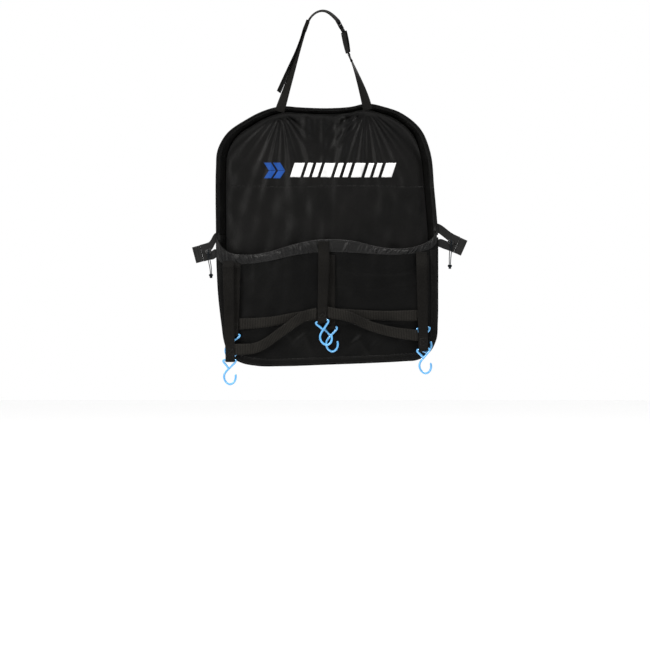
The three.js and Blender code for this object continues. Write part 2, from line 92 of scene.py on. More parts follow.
LOOP_R, LOOP_LEAVE, LOOP_LAYER, LOOP_RETURN = 4.9, 7.0, 1.5, 30.0
WEB_THICK, WEB_TOP_WIDTH, WEB_END_WIDTH = 2.0, 31.0, 26.0
WIRE_R = 3.0
HOOK_WIRE = [
    (-4.6, -20.6), (-11, -12.2), (-16.6, -5.2), (-17.3, -1.2), (-14.2, 0), (-7, 0), (0, 0), (7, 0),
    (14.2, 0), (17.3, -1.2), (16.6, -5.2), (9, -13.5), (-2, -24.4), (-9.5, -32), (-14.6, -42),
    (-13.8, -54), (-8, -63), (0.8, -67.5), (9.5, -64.5), (15.2, -57), (17.2, -49), (17, -42),
]
HANGERS = [
    ("front_left", FRONT_Y, -263, -259, -976, 0, (-9, -700)),
    ("front_centre", FRONT_Y, 3.4, -1.5, -868, 12, (-15.2, -645)),
    ("front_right", FRONT_Y, 276.6, 280.6, -946, 5, (-9.5, -674)),
    ("back_left", BACK_Y, -244, -248, -903, -10, (-9.0, -704)),
    ("back_centre", BACK_Y, 19.3, 22.7, -885, 3, (-14.2, -683)),
    ("back_right", BACK_Y, 281, 281, -887, 6, (-8.4, -684)),
]
CROSS = {
    "front_cross_left": (FRONT_Y, [(-245, -947), (-186, -942), (-105, -891), (-52, -855), (-17.3, -846)]),
    "front_cross_right": (FRONT_Y, [(14.2, -843), (75, -856), (133, -881), (190, -897), (264.8, -908)]),
    "back_cross_left": (BACK_Y, [(-231.6, -876), (-150, -870), (-70, -856), (6.8, -849)]),
    "back_cross_right": (BACK_Y, [(37.6, -848), (120, -851), (200, -853), (265.8, -852)]),
}
CROSS_WIDTH = 30.0


# ---- maths helpers
def lerp(a, b, t):
    return a + (b - a) * t


def step(a, b, x):
    t = np.clip((np.asarray(x, float) - a) / (b - a), 0, 1)
    return t * t * (3 - 2 * t)


def at_y(flat, y):
    """[X, Z] points set at Y, as [X, Y, Z] points."""
    return np.stack([flat[..., 0], y + 0 * flat[..., 0], flat[..., 1]], axis=-1)


def unit(rows):
    """Vectors along the last axis, each scaled to length 1."""
    return rows / np.maximum(np.linalg.norm(rows, axis=-1, keepdims=True), 1e-9)


def distances(line):
    """How far along a line each of its points lies."""
    return np.concatenate([[0], np.cumsum(np.linalg.norm(np.diff(line, axis=0), axis=1))])


def resampled(line, count):
    """The same line with count points, evenly spaced along it."""
    run = distances(line)
    at = np.linspace(0, run[-1], count)
    return np.stack([np.interp(at, run, line[:, k]) for k in range(line.shape[1])], axis=1)


def spline(points, count, closed=False):
    """Smooth line through points (a centripetal Catmull-Rom curve), as count evenly spaced rows."""
    p = np.array(points, float)
    if closed:
        p = np.vstack([p[-1], p, p[0], p[1]])
    else:
        p = np.vstack([2 * p[0] - p[1], p, 2 * p[-1] - p[-2]])
    rows = []
    for i in range(1, len(p) - 2):
        t = np.linspace(0, 1, 24, endpoint=False)[:, None]
        a, b, c, d = p[i - 1], p[i], p[i + 1], p[i + 2]
        lab, lbc, lcd = (max(np.linalg.norm(v), 1e-6) ** 0.5 for v in (b - a, c - b, d - c))
        m1 = (b - a) / lab ** 2 * lbc ** 2 * (lbc / (lab + lbc)) + (c - b) * (lab / (lab + lbc))
        m2 = (c - b) * (lcd / (lbc + lcd)) + (d - c) / lcd ** 2 * lbc ** 2 * (lbc / (lbc + lcd))
        h00, h10 = 2 * t ** 3 - 3 * t ** 2 + 1, t ** 3 - 2 * t ** 2 + t
        h01, h11 = -2 * t ** 3 + 3 * t ** 2, t ** 3 - t ** 2
        rows.append(h00 * b + h10 * m1 + h01 * c + h11 * m2)
    rows.append(p[-2][None])
    return resampled(np.vstack(rows), count)


def along_x(points):
    """A function that gives Z for X on the smooth line through [X, Z] points."""
    line = spline(points, 400)
    order = np.argsort(line[:, 0])
    return lambda x: np.interp(x, line[order, 0], line[order, 1])


def wobble(x, z, scale, seed):
    """Smooth pseudo-random field from a few sine waves, about -1 to 1."""
    rng = np.random.default_rng(seed)
    total = np.zeros(np.broadcast(x, z).shape)
    for k in range(6):
        angle, phase = rng.uniform(0, 2 * math.pi, 2)
        f = 2 * math.pi / scale * rng.uniform(0.6, 1.6)
        total += np.sin(f * (np.cos(angle) * x + np.sin(angle) * z) + phase)
    return total / 3.2


def ridge(t, sharp=2.2):
    """Fabric fold profile from a phase: narrow crests between wide hollows."""
    return (0.5 + 0.5 * np.cos(t)) ** sharp


# ---- mesh helpers
def link(name, vertices, faces, uv=None, smooth=True):
    """A new mesh object from vertices in millimetres; uv is one pair per vertex, in millimetres."""
    mesh = bpy.data.meshes.new(name)
    mesh.from_pydata([tuple(v) for v in np.asarray(vertices, float) * MM], [], [tuple(f) for f in faces])
    if uv is not None:
        layer = mesh.uv_layers.new(name="UVMap")
        loops = np.zeros(len(mesh.loops), np.int32)
        mesh.loops.foreach_get("vertex_index", loops)
        layer.data.foreach_set("uv", (np.asarray(uv, float)[loops] * MM).ravel())
    mesh.polygons.foreach_set("use_smooth", [smooth] * len(mesh.polygons))
    mesh.update()
    made = bpy.data.objects.new(name, mesh)
    bpy.context.scene.collection.objects.link(made)
    return made


def outward(obj):
    """Turns the faces of a closed mesh outwards."""
    work = bmesh.new()
    work.from_mesh(obj.data)
    bmesh.ops.recalc_face_normals(work, faces=work.faces)
    work.to_mesh(obj.data)
    work.free()
    return obj


def grid_faces(rows, columns, offset=0):
    r, c = np.meshgrid(np.arange(rows - 1), np.arange(columns - 1), indexing="ij")
    a = (r * columns + c + offset).ravel()
    return np.stack([a, a + 1, a + columns + 1, a + columns], axis=1).tolist()


def cloth(name, points, thickness, uv):
    """Closed thin sheet over a grid of middle-surface points with shape (rows, columns, 3)."""
    rows, columns, _ = points.shape
    normal = unit(np.cross(np.gradient(points, axis=0), np.gradient(points, axis=1)))
    front = (points + normal * thickness / 2).reshape(-1, 3)
    back = (points - normal * thickness / 2).reshape(-1, 3)
    n = rows * columns
    faces = grid_faces(rows, columns) + [f[::-1] for f in grid_faces(rows, columns, n)]
    ring = list(range(columns)) + [r * columns + columns - 1 for r in range(1, rows)]
    ring += [(rows - 1) * columns + c for c in range(columns - 2, -1, -1)]
    ring += [r * columns for r in range(rows - 2, 0, -1)]
    for i, a in enumerate(ring):
        b = ring[(i + 1) % len(ring)]
        faces.append([a, b, b + n, a + n])
    flat = np.asarray(uv, float).reshape(-1, 2)
    return outward(link(name, np.vstack([front, back]), faces, np.vstack([flat, flat])))


def web(name, line, across, width, thickness, columns=7):
    """Webbing along a line: across is its width direction at each point, width one number or one a point."""
    line = np.asarray(line, float)
    across = unit(np.asarray(across, float))
    normal = unit(np.cross(unit(np.gradient(line, axis=0)), across))
    half_widths = np.broadcast_to(np.asarray(width, float), len(line)) / 2
    run = distances(line)
    section = []
    for side in (1, -1):
        for c in np.linspace(-1, 1, columns) * side:
            edge = 1 - max(0.0, (abs(c) - 0.9) / 0.1) * 0.55
            section.append((c, side * thickness / 2 * edge))
    rings, uv = [], []
    for i in range(len(line)):
        for c, h in section:
            rings.append(line[i] + across[i] * c * half_widths[i] + normal[i] * h)
            uv.append((run[i], c * half_widths[i]))
    n = len(section)
    faces = []
    for i in range(len(line) - 1):
        for k in range(n):
            a, b = i * n + k, i * n + (k + 1) % n
            faces.append([a, b, b + n, a + n])
    faces.append(list(range(n))[::-1])
    faces.append([(len(line) - 1) * n + k for k in range(n)])
    return outward(link(name, rings, faces, uv))


def rod(name, line, radius, sides=12, closed=False, caps=True):
    """Round tube along points, with rounded ends."""
    line = np.asarray(line, float)
    radii = np.full(len(line), float(radius))
    if closed:
        along = np.roll(line, -1, axis=0) - np.roll(line, 1, axis=0)
    else:
        along = np.gradient(line, axis=0)
    along = unit(along)
    if not closed and caps:
        turns = np.linspace(0, math.pi / 2, 4)[1:]
        first = [line[0] - along[0] * radii[0] * math.sin(t) for t in turns[::-1]]
        last = [line[-1] + along[-1] * radii[-1] * math.sin(t) for t in turns]
        shrink = [max(math.cos(t), 0.12) for t in turns]
        radii = np.concatenate([[radii[0] * s for s in shrink[::-1]], radii, [radii[-1] * s for s in shrink]])
        line = np.vstack([first, line, last])
        along = np.vstack([[along[0]] * 3, along, [along[-1]] * 3])
    side = np.cross(along[0], (0.31, 0.87, 0.38))
    rings, uv = [], []
    run = distances(line)
    for i in range(len(line)):
        side = unit(side - along[i] * side.dot(along[i]))
        other = np.cross(along[i], side)
        for k in range(sides):
            a = 2 * math.pi * k / sides
            rings.append(line[i] + (side * math.cos(a) + other * math.sin(a)) * radii[i])
            uv.append((run[i], k / sides * 2 * math.pi * radii[i]))
    faces = []
    n = len(line)
    for i in range(n if closed else n - 1):
        for k in range(sides):
            a, b = i * sides + k, i * sides + (k + 1) % sides
            c, d = ((i + 1) % n) * sides + (k + 1) % sides, ((i + 1) % n) * sides + k
            faces.append([a, b, c, d])
    if not closed:
        faces.append(list(range(sides))[::-1])
        faces.append([(n - 1) * sides + k for k in range(sides)])
    return outward(link(name, rings, faces, uv))


def dashes(name, path, stitch=3.0, gap=1.6, thick=0.45):
    """Stitching: short threads along a path in millimetres, standing forward from the cloth."""
    path = np.asarray(path, float)
    run = distances(path)
    lift = np.array((0.0, -1.0, 0.0))
    vertices, faces = [], []
    s = gap / 2
    while s + stitch < run[-1]:
        a, b = (np.array([np.interp(spot, run, path[:, k]) for k in range(3)]) for spot in (s, s + stitch))
        side = unit(np.cross(unit(b - a), lift))
        base = len(vertices)
        for p, h in ((a, 0.15), (lerp(a, b, 0.5), 1.0), (b, 0.15)):
            for u, v in ((1, 0), (0.3, 1), (-0.3, 1), (-1, 0)):
                vertices.append(p + side * u * thick + lift * thick * (v * h + 0.02))
        for k in range(2):
            for m in range(4):
                q = base + k * 4
                faces.append([q + m, q + (m + 1) % 4, q + 4 + (m + 1) % 4, q + 4 + m])
        faces += [[base, base + 1, base + 2, base + 3], [base + 11, base + 10, base + 9, base + 8]]
        s += stitch + gap
    return outward(link(name, vertices, faces, smooth=False))


def merged(name, parts):
    """Several mesh objects joined into one."""
    bpy.ops.object.select_all(action="DESELECT")
    for p in parts:
        p.select_set(True)
    bpy.context.view_layer.objects.active = parts[0]
    bpy.ops.object.join()
    parts[0].name = name
    parts[0].data.name = name
    return parts[0]


def box(length, width, thick, down=0.0, across=0.0):
    """Block with its length along Z, its width along Y and its thickness along X, in millimetres."""
    bpy.ops.mesh.primitive_cube_add(size=1)
    made = bpy.context.object
    made.scale = (thick * MM, width * MM, length * MM)
    made.location = (0, across * MM, -down * MM)
    bpy.ops.object.transform_apply(location=True, rotation=False, scale=True)
    return made


def moulded(name, length, width, thick, at, turn, down=0.0, across=0.0, bevel=1.0, twist=0.0, cuts=()):
    """Bevelled block down a strap turned about Y; each cut is (length, width, thick, down, across)."""
    body = box(length, width, thick, down)
    for cut in cuts:
        tool = box(*cut)
        m = body.modifiers.new("cut", "BOOLEAN")
        m.operation, m.object, m.solver = "DIFFERENCE", tool, "EXACT"
        bpy.context.view_layer.objects.active = body
        bpy.ops.object.modifier_apply(modifier=m.name)
        bpy.data.objects.remove(tool)
    m = body.modifiers.new("soft_edges", "BEVEL")
    m.width, m.segments, m.limit_method = bevel * MM, 3, "ANGLE"
    bpy.context.view_layer.objects.active = body
    bpy.ops.object.modifier_apply(modifier=m.name)
    placed = Matrix.Translation((at[0] * MM, 0, at[1] * MM)) @ Matrix.Rotation(math.radians(turn), 4, "Y")
    twisted = Matrix.Rotation(math.radians(twist), 4, "Z") @ Matrix.Translation((0, across * MM, 0))
    body.data.transform(placed @ twisted)
    body.name = name
    body.data.name = name
    for p in body.data.polygons:
        p.use_smooth = True
    body.modifiers.new("weighted", "WEIGHTED_NORMAL")
    return body


# ---- materials
def new_material(name, color, roughness):
    mat = bpy.data.materials.new(name)
    mat.use_nodes = True
    tree = mat.node_tree
    shader = tree.nodes["Principled BSDF"]
    shader.inputs["Base Color"].default_value = (*color, 1)
    shader.inputs["Roughness"].default_value = roughness
    return mat, tree, shader


def node(tree, kind, **values):
    """A node of a kind, with its sockets set by name."""
    made = tree.nodes.new(kind)
    for key, value in values.items():
        made.inputs[key].default_value = value
    return made


def math_node(tree, operation, *values):
    """Output of a Math node; each value is a number or a socket."""
    made = tree.nodes.new("ShaderNodeMath")
    made.operation = operation
    for socket, value in zip(made.inputs, values):
        if isinstance(value, (int, float)):
            socket.default_value = value
        else:
            tree.links.new(value, socket)
    return made.outputs[0]


def noise(tree, vector, scale, detail=3.0, rough=0.5):
    made = node(tree, "ShaderNodeTexNoise", Scale=scale, Detail=detail, Roughness=rough)
    tree.links.new(vector, made.inputs["Vector"])
    return made.outputs["Fac"]


def ramp(tree, value, low, high, dark, light):
    """Colour that goes from dark to light as value goes from low to high."""
    made = tree.nodes.new("ShaderNodeValToRGB")
    for stop, position, color in zip(made.color_ramp.elements, (low, high), (dark, light)):
        stop.position = position
        stop.color = (*color, 1)
    tree.links.new(value, made.inputs["Fac"])
    return made.outputs["Color"]


def bumped(tree, shader, heights):
    """Bump from a list of (height socket, distance in metres, strength)."""
    last = None
    for height, distance, strength in heights:
        bump = node(tree, "ShaderNodeBump", Strength=strength, Distance=distance)
        tree.links.new(height, bump.inputs["Height"])
        if last is not None:
            tree.links.new(last, bump.inputs["Normal"])
        last = bump.outputs["Normal"]
    tree.links.new(last, shader.inputs["Normal"])


def waves(tree, coordinate, period):
    """0 to 1 ribs along one coordinate in metres."""
    turned = math_node(tree, "MULTIPLY", coordinate, 2 * math.pi / period)
    return math_node(tree, "MULTIPLY_ADD", math_node(tree, "SINE", turned), 0.5, 0.5)


def fabric(name, dark, light, rough, weave=0.0006, crinkle=0.0012, shine=0.085):
    """Coated nylon: fine plain weave, crinkle, uneven gloss and colour, from object coordinates."""
    mat, tree, shader = new_material(name, dark, rough)
    shader.inputs["Specular IOR Level"].default_value = shine
    place = node(tree, "ShaderNodeTexCoord").outputs["Object"]
    apart = node(tree, "ShaderNodeSeparateXYZ")
    tree.links.new(place, apart.inputs[0])
    warp = waves(tree, apart.outputs["X"], weave)
    weft = waves(tree, apart.outputs["Z"], weave)
    woven = math_node(tree, "MULTIPLY", warp, weft)
    big = noise(tree, place, 9.0, 4.0)
    fine = noise(tree, place, 160.0, 5.0, 0.6)
    tree.links.new(ramp(tree, big, 0.3, 0.72, dark, light), shader.inputs["Base Color"])
    patch = math_node(tree, "MULTIPLY_ADD", noise(tree, place, 26.0, 4.0), 0.22, rough - 0.11)
    tree.links.new(patch, shader.inputs["Roughness"])
    bumped(tree, shader, [(fine, crinkle * 0.35, 0.5), (noise(tree, place, 34.0, 4.0), crinkle, 0.35),
                          (woven, 0.00012, 0.35)])
    return mat


def webbing_look(name, dark, light, rib=0.0042, cross=0.0015):
    """Ribbed webbing from its UVs: ribs across the width, fine yarns along it, fuzzy and worn; its colour is
    darker in the hollows between ribs and yarns, which is painted shade.
    """
    mat, tree, shader = new_material(name, dark, 0.82)
    shader.inputs["Sheen Weight"].default_value = 0.01
    shader.inputs["Sheen Roughness"].default_value = 0.5
    shader.inputs["Specular IOR Level"].default_value = 0.05
    uv = node(tree, "ShaderNodeTexCoord")
    apart = node(tree, "ShaderNodeSeparateXYZ")
    tree.links.new(uv.outputs["UV"], apart.inputs[0])
    ribs = waves(tree, apart.outputs["X"], rib)
    yarn = waves(tree, apart.outputs["Y"], cross)
    height = math_node(tree, "ADD", ribs, math_node(tree, "MULTIPLY", yarn, 0.6))
    fuzz = noise(tree, uv.outputs["Object"], 260.0, 4.0, 0.6)
    big = noise(tree, uv.outputs["Object"], 16.0, 3.0)
    # colour follows the rib and yarn height: painted shade in the hollows and lighter crests, times a random
    # tone
    tone = math_node(tree, "MULTIPLY", height, math_node(tree, "ADD", big, 0.15))
    tree.links.new(ramp(tree, tone, 0.1, 0.95, dark, light), shader.inputs["Base Color"])
    worn = math_node(tree, "MULTIPLY_ADD", fuzz, 0.25, 0.68)
    tree.links.new(worn, shader.inputs["Roughness"])
    bumped(tree, shader, [(height, 0.0005, 0.7), (fuzz, 0.0004, 0.4)])
    return mat


def hard(name, color, rough, speck=0.0002, metallic=0.0, coat=0.0, vary=0.12, shine=0.5):
    """Moulded, painted or coated hard surface with slight texture and scuffs."""
    mat, tree, shader = new_material(name, color, rough)
    shader.inputs["Metallic"].default_value = metallic
    shader.inputs["Specular IOR Level"].default_value = shine
    shader.inputs["Coat Weight"].default_value = coat
    shader.inputs["Coat Roughness"].default_value = 0.12
    place = node(tree, "ShaderNodeTexCoord").outputs["Object"]
    scuff = noise(tree, place, 90.0, 5.0, 0.6)
    lighter = tuple(min(1.0, c * 1.25 + 0.004) for c in color)
    tone = ramp(tree, noise(tree, place, 30.0), 0.35, 0.7, color, lighter)
    tree.links.new(tone, shader.inputs["Base Color"])
    worn = math_node(tree, "MULTIPLY_ADD", scuff, vary, rough - vary / 2)
    tree.links.new(worn, shader.inputs["Roughness"])
    bumped(tree, shader, [(noise(tree, place, 700.0, 2.0), speck, 0.3)])
    return mat


SHELL = fabric("shell_nylon", (0.0009, 0.0009, 0.0008), (0.002, 0.0019, 0.0018), 0.44)
LINING = fabric("lining_nylon", (0.0009, 0.0009, 0.0008), (0.0024, 0.0022, 0.0021), 0.36, weave=0.0005)
POCKET = fabric("pocket_nylon", (0.0007, 0.0007, 0.0007), (0.0015, 0.0015, 0.0014), 0.40, shine=0.055)
HEM = fabric("hem_nylon", (0.003, 0.003, 0.003), (0.007, 0.0069, 0.0069), 0.40, weave=0.0007)
WEB = webbing_look("ribbed_webbing", (0.001, 0.0009, 0.0008), (0.0052, 0.0048, 0.0042), 0.0031)
CROSS_WEB = webbing_look("coarse_webbing", (0.0012, 0.0011, 0.001), (0.0115, 0.0106, 0.0092), 0.0046)
TAB = fabric("zip_end_nylon", (0.003, 0.003, 0.0029), (0.0078, 0.0076, 0.0075), 0.45)
TAPE = webbing_look("zip_tape_weave", (0.001, 0.001, 0.001), (0.0045, 0.0044, 0.0042), 0.0014, 0.0008)
THREAD = hard("stitch_thread", (0.009, 0.0088, 0.0085), 0.75, vary=0.2, shine=0.1)
COIL = hard("zip_coil", (0.003, 0.003, 0.003), 0.5, shine=0.06)
PLASTIC = hard("buckle_plastic", (0.003, 0.003, 0.0032), 0.6, shine=0.02)
WIRE = hard("hook_coating", (0.045, 0.19, 0.37), 0.24, speck=0.00008, coat=0.35, vary=0.08)
SLIDER = hard("slider_metal", (0.012, 0.012, 0.012), 0.34, metallic=0.7)
CORD = webbing_look("pull_cord_braid", (0.001, 0.0015, 0.002), (0.006, 0.0085, 0.0115), 0.0018, 0.0012)
ELASTIC = webbing_look("hem_elastic_weave", (0.02, 0.02, 0.02), (0.045, 0.045, 0.045), 0.0016, 0.001)
PRINT_BLUE = hard("print_blue", (0.002, 0.026, 0.125), 0.5, vary=0.16, shine=0.1)
PRINT_WHITE = hard("print_white", (0.37, 0.37, 0.37), 0.45, vary=0.16)


def finish(piece, look, body=None, replaces=()):
    """Gives a piece its look, the body that it rides on and the CAD nodes that it replaces."""
    piece.data.materials.clear()
    piece.data.materials.append(look)
    if body:
        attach(piece, body)
    if replaces:
        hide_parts(*replaces)
    return piece


def stitches(name, path, slot, body, *sizes):
    return finish(dashes(name, path, *sizes), THREAD, body)


def over_fold(piece):
    """Applies a piece's placement to its mesh; the piece is not bent."""
    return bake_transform(piece)


# ---- zip ends, sliders and pull cords
ZIP_Y = 6.5
ZIP_SIDES = {
    "left": ((-360, -683), (-0.966, -0.26), (-299.0, -633), (-299.0, -677), 8),
    "right": ((396.7, -663), (0.914, -0.406), (324.0, -607), (324.0, -648), -3),
}
TAB_LENGTH, TAB_WIDTH, STRAND_WIDTH, STRAND_SPLIT, STRAND_RUN, SLIDER_BACK = 22.0, 46.0, 21.0, 3.0, 24.0, 5.0
CORD_R, CORD_DROP, KNOT_R, EYE_RISE = 1.2, 68.0, 5.4, 4.4
TAB_THICK = 3.4
SLIDER_LENGTH, SLIDER_WIDTH, PLATE, PLATES_APART, OUTLINE_STEPS = 18.0, 13.0, 1.8, 3.2, 40


def knot_shape(name, middle, radius):
    """Overhand knot: a short rope wound over itself."""
    t = np.linspace(0, 2 * math.pi, 64, endpoint=False)
    r = radius * 0.66
    x = r * (np.sin(t) + 2 * np.sin(2 * t)) * 0.42
    z = r * (np.cos(t) - 2 * np.cos(2 * t)) * 0.46
    y = -r * np.sin(3 * t) * 0.62
    return rod(name, np.stack([x, y, z], axis=1) + middle, CORD_R * 1.6, 10, closed=True)


def slider_plate(eye, out, up, y, width):
    """Rounded plate that is narrower towards the closed end."""
    outline = []
    for a in np.linspace(0, 2 * math.pi, OUTLINE_STEPS, endpoint=False):
        c, n = math.cos(a), math.sin(a)
        px = SLIDER_LENGTH / 2 * math.copysign(abs(c) ** 0.55, c)
        pz = width / 2 * math.copysign(abs(n) ** 0.55, n) * (1 - 0.12 * px / (SLIDER_LENGTH / 2))
        outline.append((px, pz))
    verts = []
    for depth, inset in ((-PLATE / 2, 0.88), (-PLATE / 4, 1.0), (PLATE / 4, 1.0), (PLATE / 2, 0.94)):
        for px, pz in outline:
            verts.append(eye + out * px * inset + up * pz * inset + np.array((0, y + depth, 0)))
    faces = [list(range(OUTLINE_STEPS)), list(range(3 * OUTLINE_STEPS, 4 * OUTLINE_STEPS))]
    for r in range(3):
        for k in range(OUTLINE_STEPS):
            a, b = r * OUTLINE_STEPS + k, r * OUTLINE_STEPS + (k + 1) % OUTLINE_STEPS
            faces.append([a, b, b + OUTLINE_STEPS, a + OUTLINE_STEPS])
    return outward(link("slider_plate", verts, faces))


def slider_shape(name, eye, out, up):
    """Two plates joined by a post, with a bridge for the cord in front."""
    y = (PLATES_APART + PLATE) / 2
    plates = ((-y, SLIDER_WIDTH), (y, SLIDER_WIDTH * 0.96))
    shells = [slider_plate(eye, out, up, *plate) for plate in plates]
    post = [eye - out * (SLIDER_LENGTH / 2 - 2.4) + np.array((0, y, 0)) for y in (-2.2, 0, 2.2)]
    shells.append(rod("slider_post", post, 2.0, 12, caps=False))
    front = 0.5 - PLATES_APART / 2 - PLATE
    arch = [eye + out * (5.4 * math.cos(a)) + np.array((0, front - (EYE_RISE - 0.5) * math.sin(a) ** 0.7, 0))
            for a in np.linspace(0.02, math.pi - 0.02, 18)]
    shells.append(rod("slider_bridge", arch, 1.15, 10))
    return merged(name, shells)


def knot_with_tails(name, x, y, top):
    """Knot of the two strands, with the cut ends below it."""
    parts = [knot_shape(name, (x, y, top - KNOT_R - 0.1), KNOT_R)]
    low = top - 2 * KNOT_R
    for dx in (-1.6, 1.8):
        line = spline([(x + dx, y, low + 2.4), (x + dx * 1.5, y - 0.6, low - 0.8)], 6)
        parts.append(rod("cord_tail", line, CORD_R, 8))
    return merged(name, parts)


for side, (end, out, upper, lower, lean) in ZIP_SIDES.items():
    out = np.array((out[0], 0, out[1])) / math.hypot(*out)
    bag_side = -1 if side == "left" else 1
    up = np.array((-out[2], 0, out[0])) * bag_side
    origin = np.array((end[0], ZIP_Y, end[1]), float)

    def place(along, across, y=0.0):
        return origin + out * along + up * across + np.array((0, y, 0))

    # folded fabric end over the closed zip
    s = np.linspace(-TAB_LENGTH, 0, 18)
    widths = TAB_WIDTH * (1 + 0.0015 * np.sin(s * 0.9))
    line = [place(a, 0, 0.25 * math.sin(a * 0.7)) for a in s]
    tab = web(f"{side}_zip_end_tab", line, [up] * len(s), widths, TAB_THICK, columns=15)
    finish(tab, TAB, "upper_half", [f"{side}_zip_tab"])
    corners = ((2.5 - TAB_LENGTH, -20), (2.5 - TAB_LENGTH, 20), (-3, 20), (-3, -20), (2.5 - TAB_LENGTH, -20))
    frame_line = [place(*corner, -TAB_THICK / 2 - 0.2) for corner in corners]
    finish(dashes(f"{side}_tab_stitches", frame_line, thick=0.35), COIL, "upper_half")
    straight = -TAB_LENGTH - STRAND_RUN
    for kind, sign, start in (("upper", 1, upper), ("lower", -1, lower)):
        middle = sign * (STRAND_SPLIT - 1.4 + STRAND_WIDTH / 2)
        first = np.array((start[0], ZIP_Y, start[1]), float)
        inside = first + np.array((-10 * bag_side, 3.0, 4 * sign))
        bends = [place(straight - 3, middle * 1.08), place(straight + 6, middle)]
        bends.append(place(-TAB_LENGTH - 0.3, middle))
        line = spline([inside, first] + bends, 40)
        line[:, 1] += 0.8 * np.sin(np.linspace(0, 5, 40) + sign)
        piece = web(f"{side}_strand_{kind}", line, [up] * len(line), STRAND_WIDTH + 2.6, 1.6, columns=9)
        finish(piece, TAB, None, [f"{side}_zip_strand_{kind}"])
        if kind == "upper":
            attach(piece, "upper_half")
        else:
            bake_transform(piece)
    # closed coil from the slider to the end tab
    coil = [place(a, 0.6 * math.sin(a * 2.6), -0.7) for a in np.linspace(straight + 4, -TAB_LENGTH + 4, 90)]
    finish(rod(f"{side}_closed_coil", coil, 1.1, 8), COIL, "upper_half")

    eye = place(straight + SLIDER_BACK, 0)
    slider = slider_shape(f"{side}_slider_body", eye, out, up)
    finish(slider, SLIDER, f"{side}_slider", [f"{side}_slider"])

    # doubled pull cord from the knot through the bridge and back to the knot
    ex, ey, ez = eye[0], ZIP_Y - 3.4 - CORD_R - 0.2, eye[2]
    knot_top = ez - CORD_DROP + KNOT_R
    route = [
        (-1.5, -2.2, knot_top + 0.4, 1), (-2.0, -2.6, knot_top + 16, 0.86), (-2.4, -2.8, ez - 24, 0.34),
        (-1.4, -2.4, ez - 9, 0.06), (-0.6, -1.1, ez - 4.5, 0), (0, -0.1, ez - 2, 0), (0, -0.1, ez + 2, 0),
        (0.5, -2.2, ez + 4.6, 0), (1.4, -5.4, ez + 2.5, 0), (1.9, -5.8, ez - 3, 0),
        (1.9, -5.2, ez - 10, 0.06), (2.5, -4.2, ez - 24, 0.34), (2.1, -3.2, knot_top + 16, 0.86),
        (1.5, -2.2, knot_top + 0.4, 1),
    ]
    path = spline([(ex + dx + lean * share, ey + dy, z) for dx, dy, z, share in route], 110)
    pull = rod(f"{side}_cord", path, CORD_R, 10)
    finish(pull, CORD, f"{side}_slider", [f"{side}_pull_cord"])
    knot = knot_with_tails(f"{side}_knot", ex + lean, ey - 2.2, knot_top)
    finish(knot, CORD, f"{side}_slider", [f"{side}_pull_knot"])

# ---- stage and light
FLOOR_HALF, FLOOR_Z = 9000, -1500
corners = [(x * FLOOR_HALF, y * FLOOR_HALF, FLOOR_Z) for x, y in ((-1, -1), (1, -1), (1, 1), (-1, 1))]
floor = link("studio_floor", corners, [(0, 1, 2, 3)])
floor.data.materials.append(new_material("studio_floor_look", (0.93, 0.93, 0.93), 0.9)[0])


def area_light(name, place, target, size, power, color=(1, 1, 1)):
    light = bpy.data.lights.new(name, "AREA")
    light.shape, light.size, light.energy, light.color = "DISK", size, power, color
    made = bpy.data.objects.new(name, light)
    bpy.context.scene.collection.objects.link(made)
    made.location = place
    made.rotation_euler = (Vector(target) - Vector(place)).to_track_quat("-Z", "Y").to_euler()


MIDDLE = (0, 0, -0.6)
area_light("key", (-1.9, -2.2, 1.3), MIDDLE, 0.7, 90, (1, 0.985, 0.96))
area_light("low_left", (-1.5, -1.7, -0.5), (-0.1, 0, -0.75), 0.6, 14, (1, 0.985, 0.96))
area_light("fill", (2.8, -2.2, -0.1), MIDDLE, 1.0, 16, (0.97, 0.98, 1))
area_light("top", (0.2, -0.9, 1.9), MIDDLE, 0.6, 95, (1, 0.98, 0.95))
area_light("rim_left", (-2.4, 1.0, 0.4), MIDDLE, 1.0, 24)
area_light("back", (1.2, 2.6, 0.8), MIDDLE, 1.0, 60)
world = bpy.data.worlds.new("studio")
world.use_nodes = True
backdrop = world.node_tree.nodes["Background"]
backdrop.inputs["Color"].default_value = (1, 1, 1, 1)
backdrop.inputs["Strength"].default_value = 1.0
bpy.context.scene.world = world

# ---- shell: back cover, lining, walls, zip tape
def back_of(p):
    """Back seam of the wall behind [X, Z] points of the rim; the wall flares out towards the rim."""
    flare = np.where(p[:, 1] > FOLD_Z, FLARE_TOP, FLARE_BOTTOM)
    return np.stack([BAG_X + (p[:, 0] - BAG_X) * FLARE_X, FOLD_Z + (p[:, 1] - FOLD_Z) * flare], axis=1)


rim_line = spline(UPPER_RIM + LOWER_RIM[::-1], 720, closed=True)
seam_line = back_of(rim_line)
HALF_STEPS = 300
crossing = int(np.argmax(seam_line[:, 1] < FOLD_Z))
fold_ends = [np.array([[seam_line[k, 0], FOLD_Z]]) for k in (0, crossing)]


# outline of the back seam as a top and a bottom line, both from left to right
top_line = resampled(np.vstack([fold_ends[0], seam_line[:crossing], fold_ends[1]]), HALF_STEPS)
lower_part = seam_line[crossing:]
lower_part = lower_part[lower_part[:, 1] < FOLD_Z]
bottom_line = resampled(np.vstack([fold_ends[0], lower_part[::-1], fold_ends[1]]), HALF_STEPS)


def disc(inset, rings, power=1.2):
    """Rings of [X, Z] from the back seam in to a shared segment of the fold line, for each half."""
    share = ((np.arange(rings) / (rings - 1)) ** power)[None, :, None]
    spine = np.stack([np.linspace(BAG_X - 170, BAG_X + 170, HALF_STEPS), np.full(HALF_STEPS, FOLD_Z)], axis=1)
    halves = []
    for line in (top_line, bottom_line):
        line = line + unit(np.array((BAG_X, FOLD_Z)) - line) * inset
        halves.append(line[:, None] + (spine - line)[:, None] * share)
    return np.concatenate(halves)


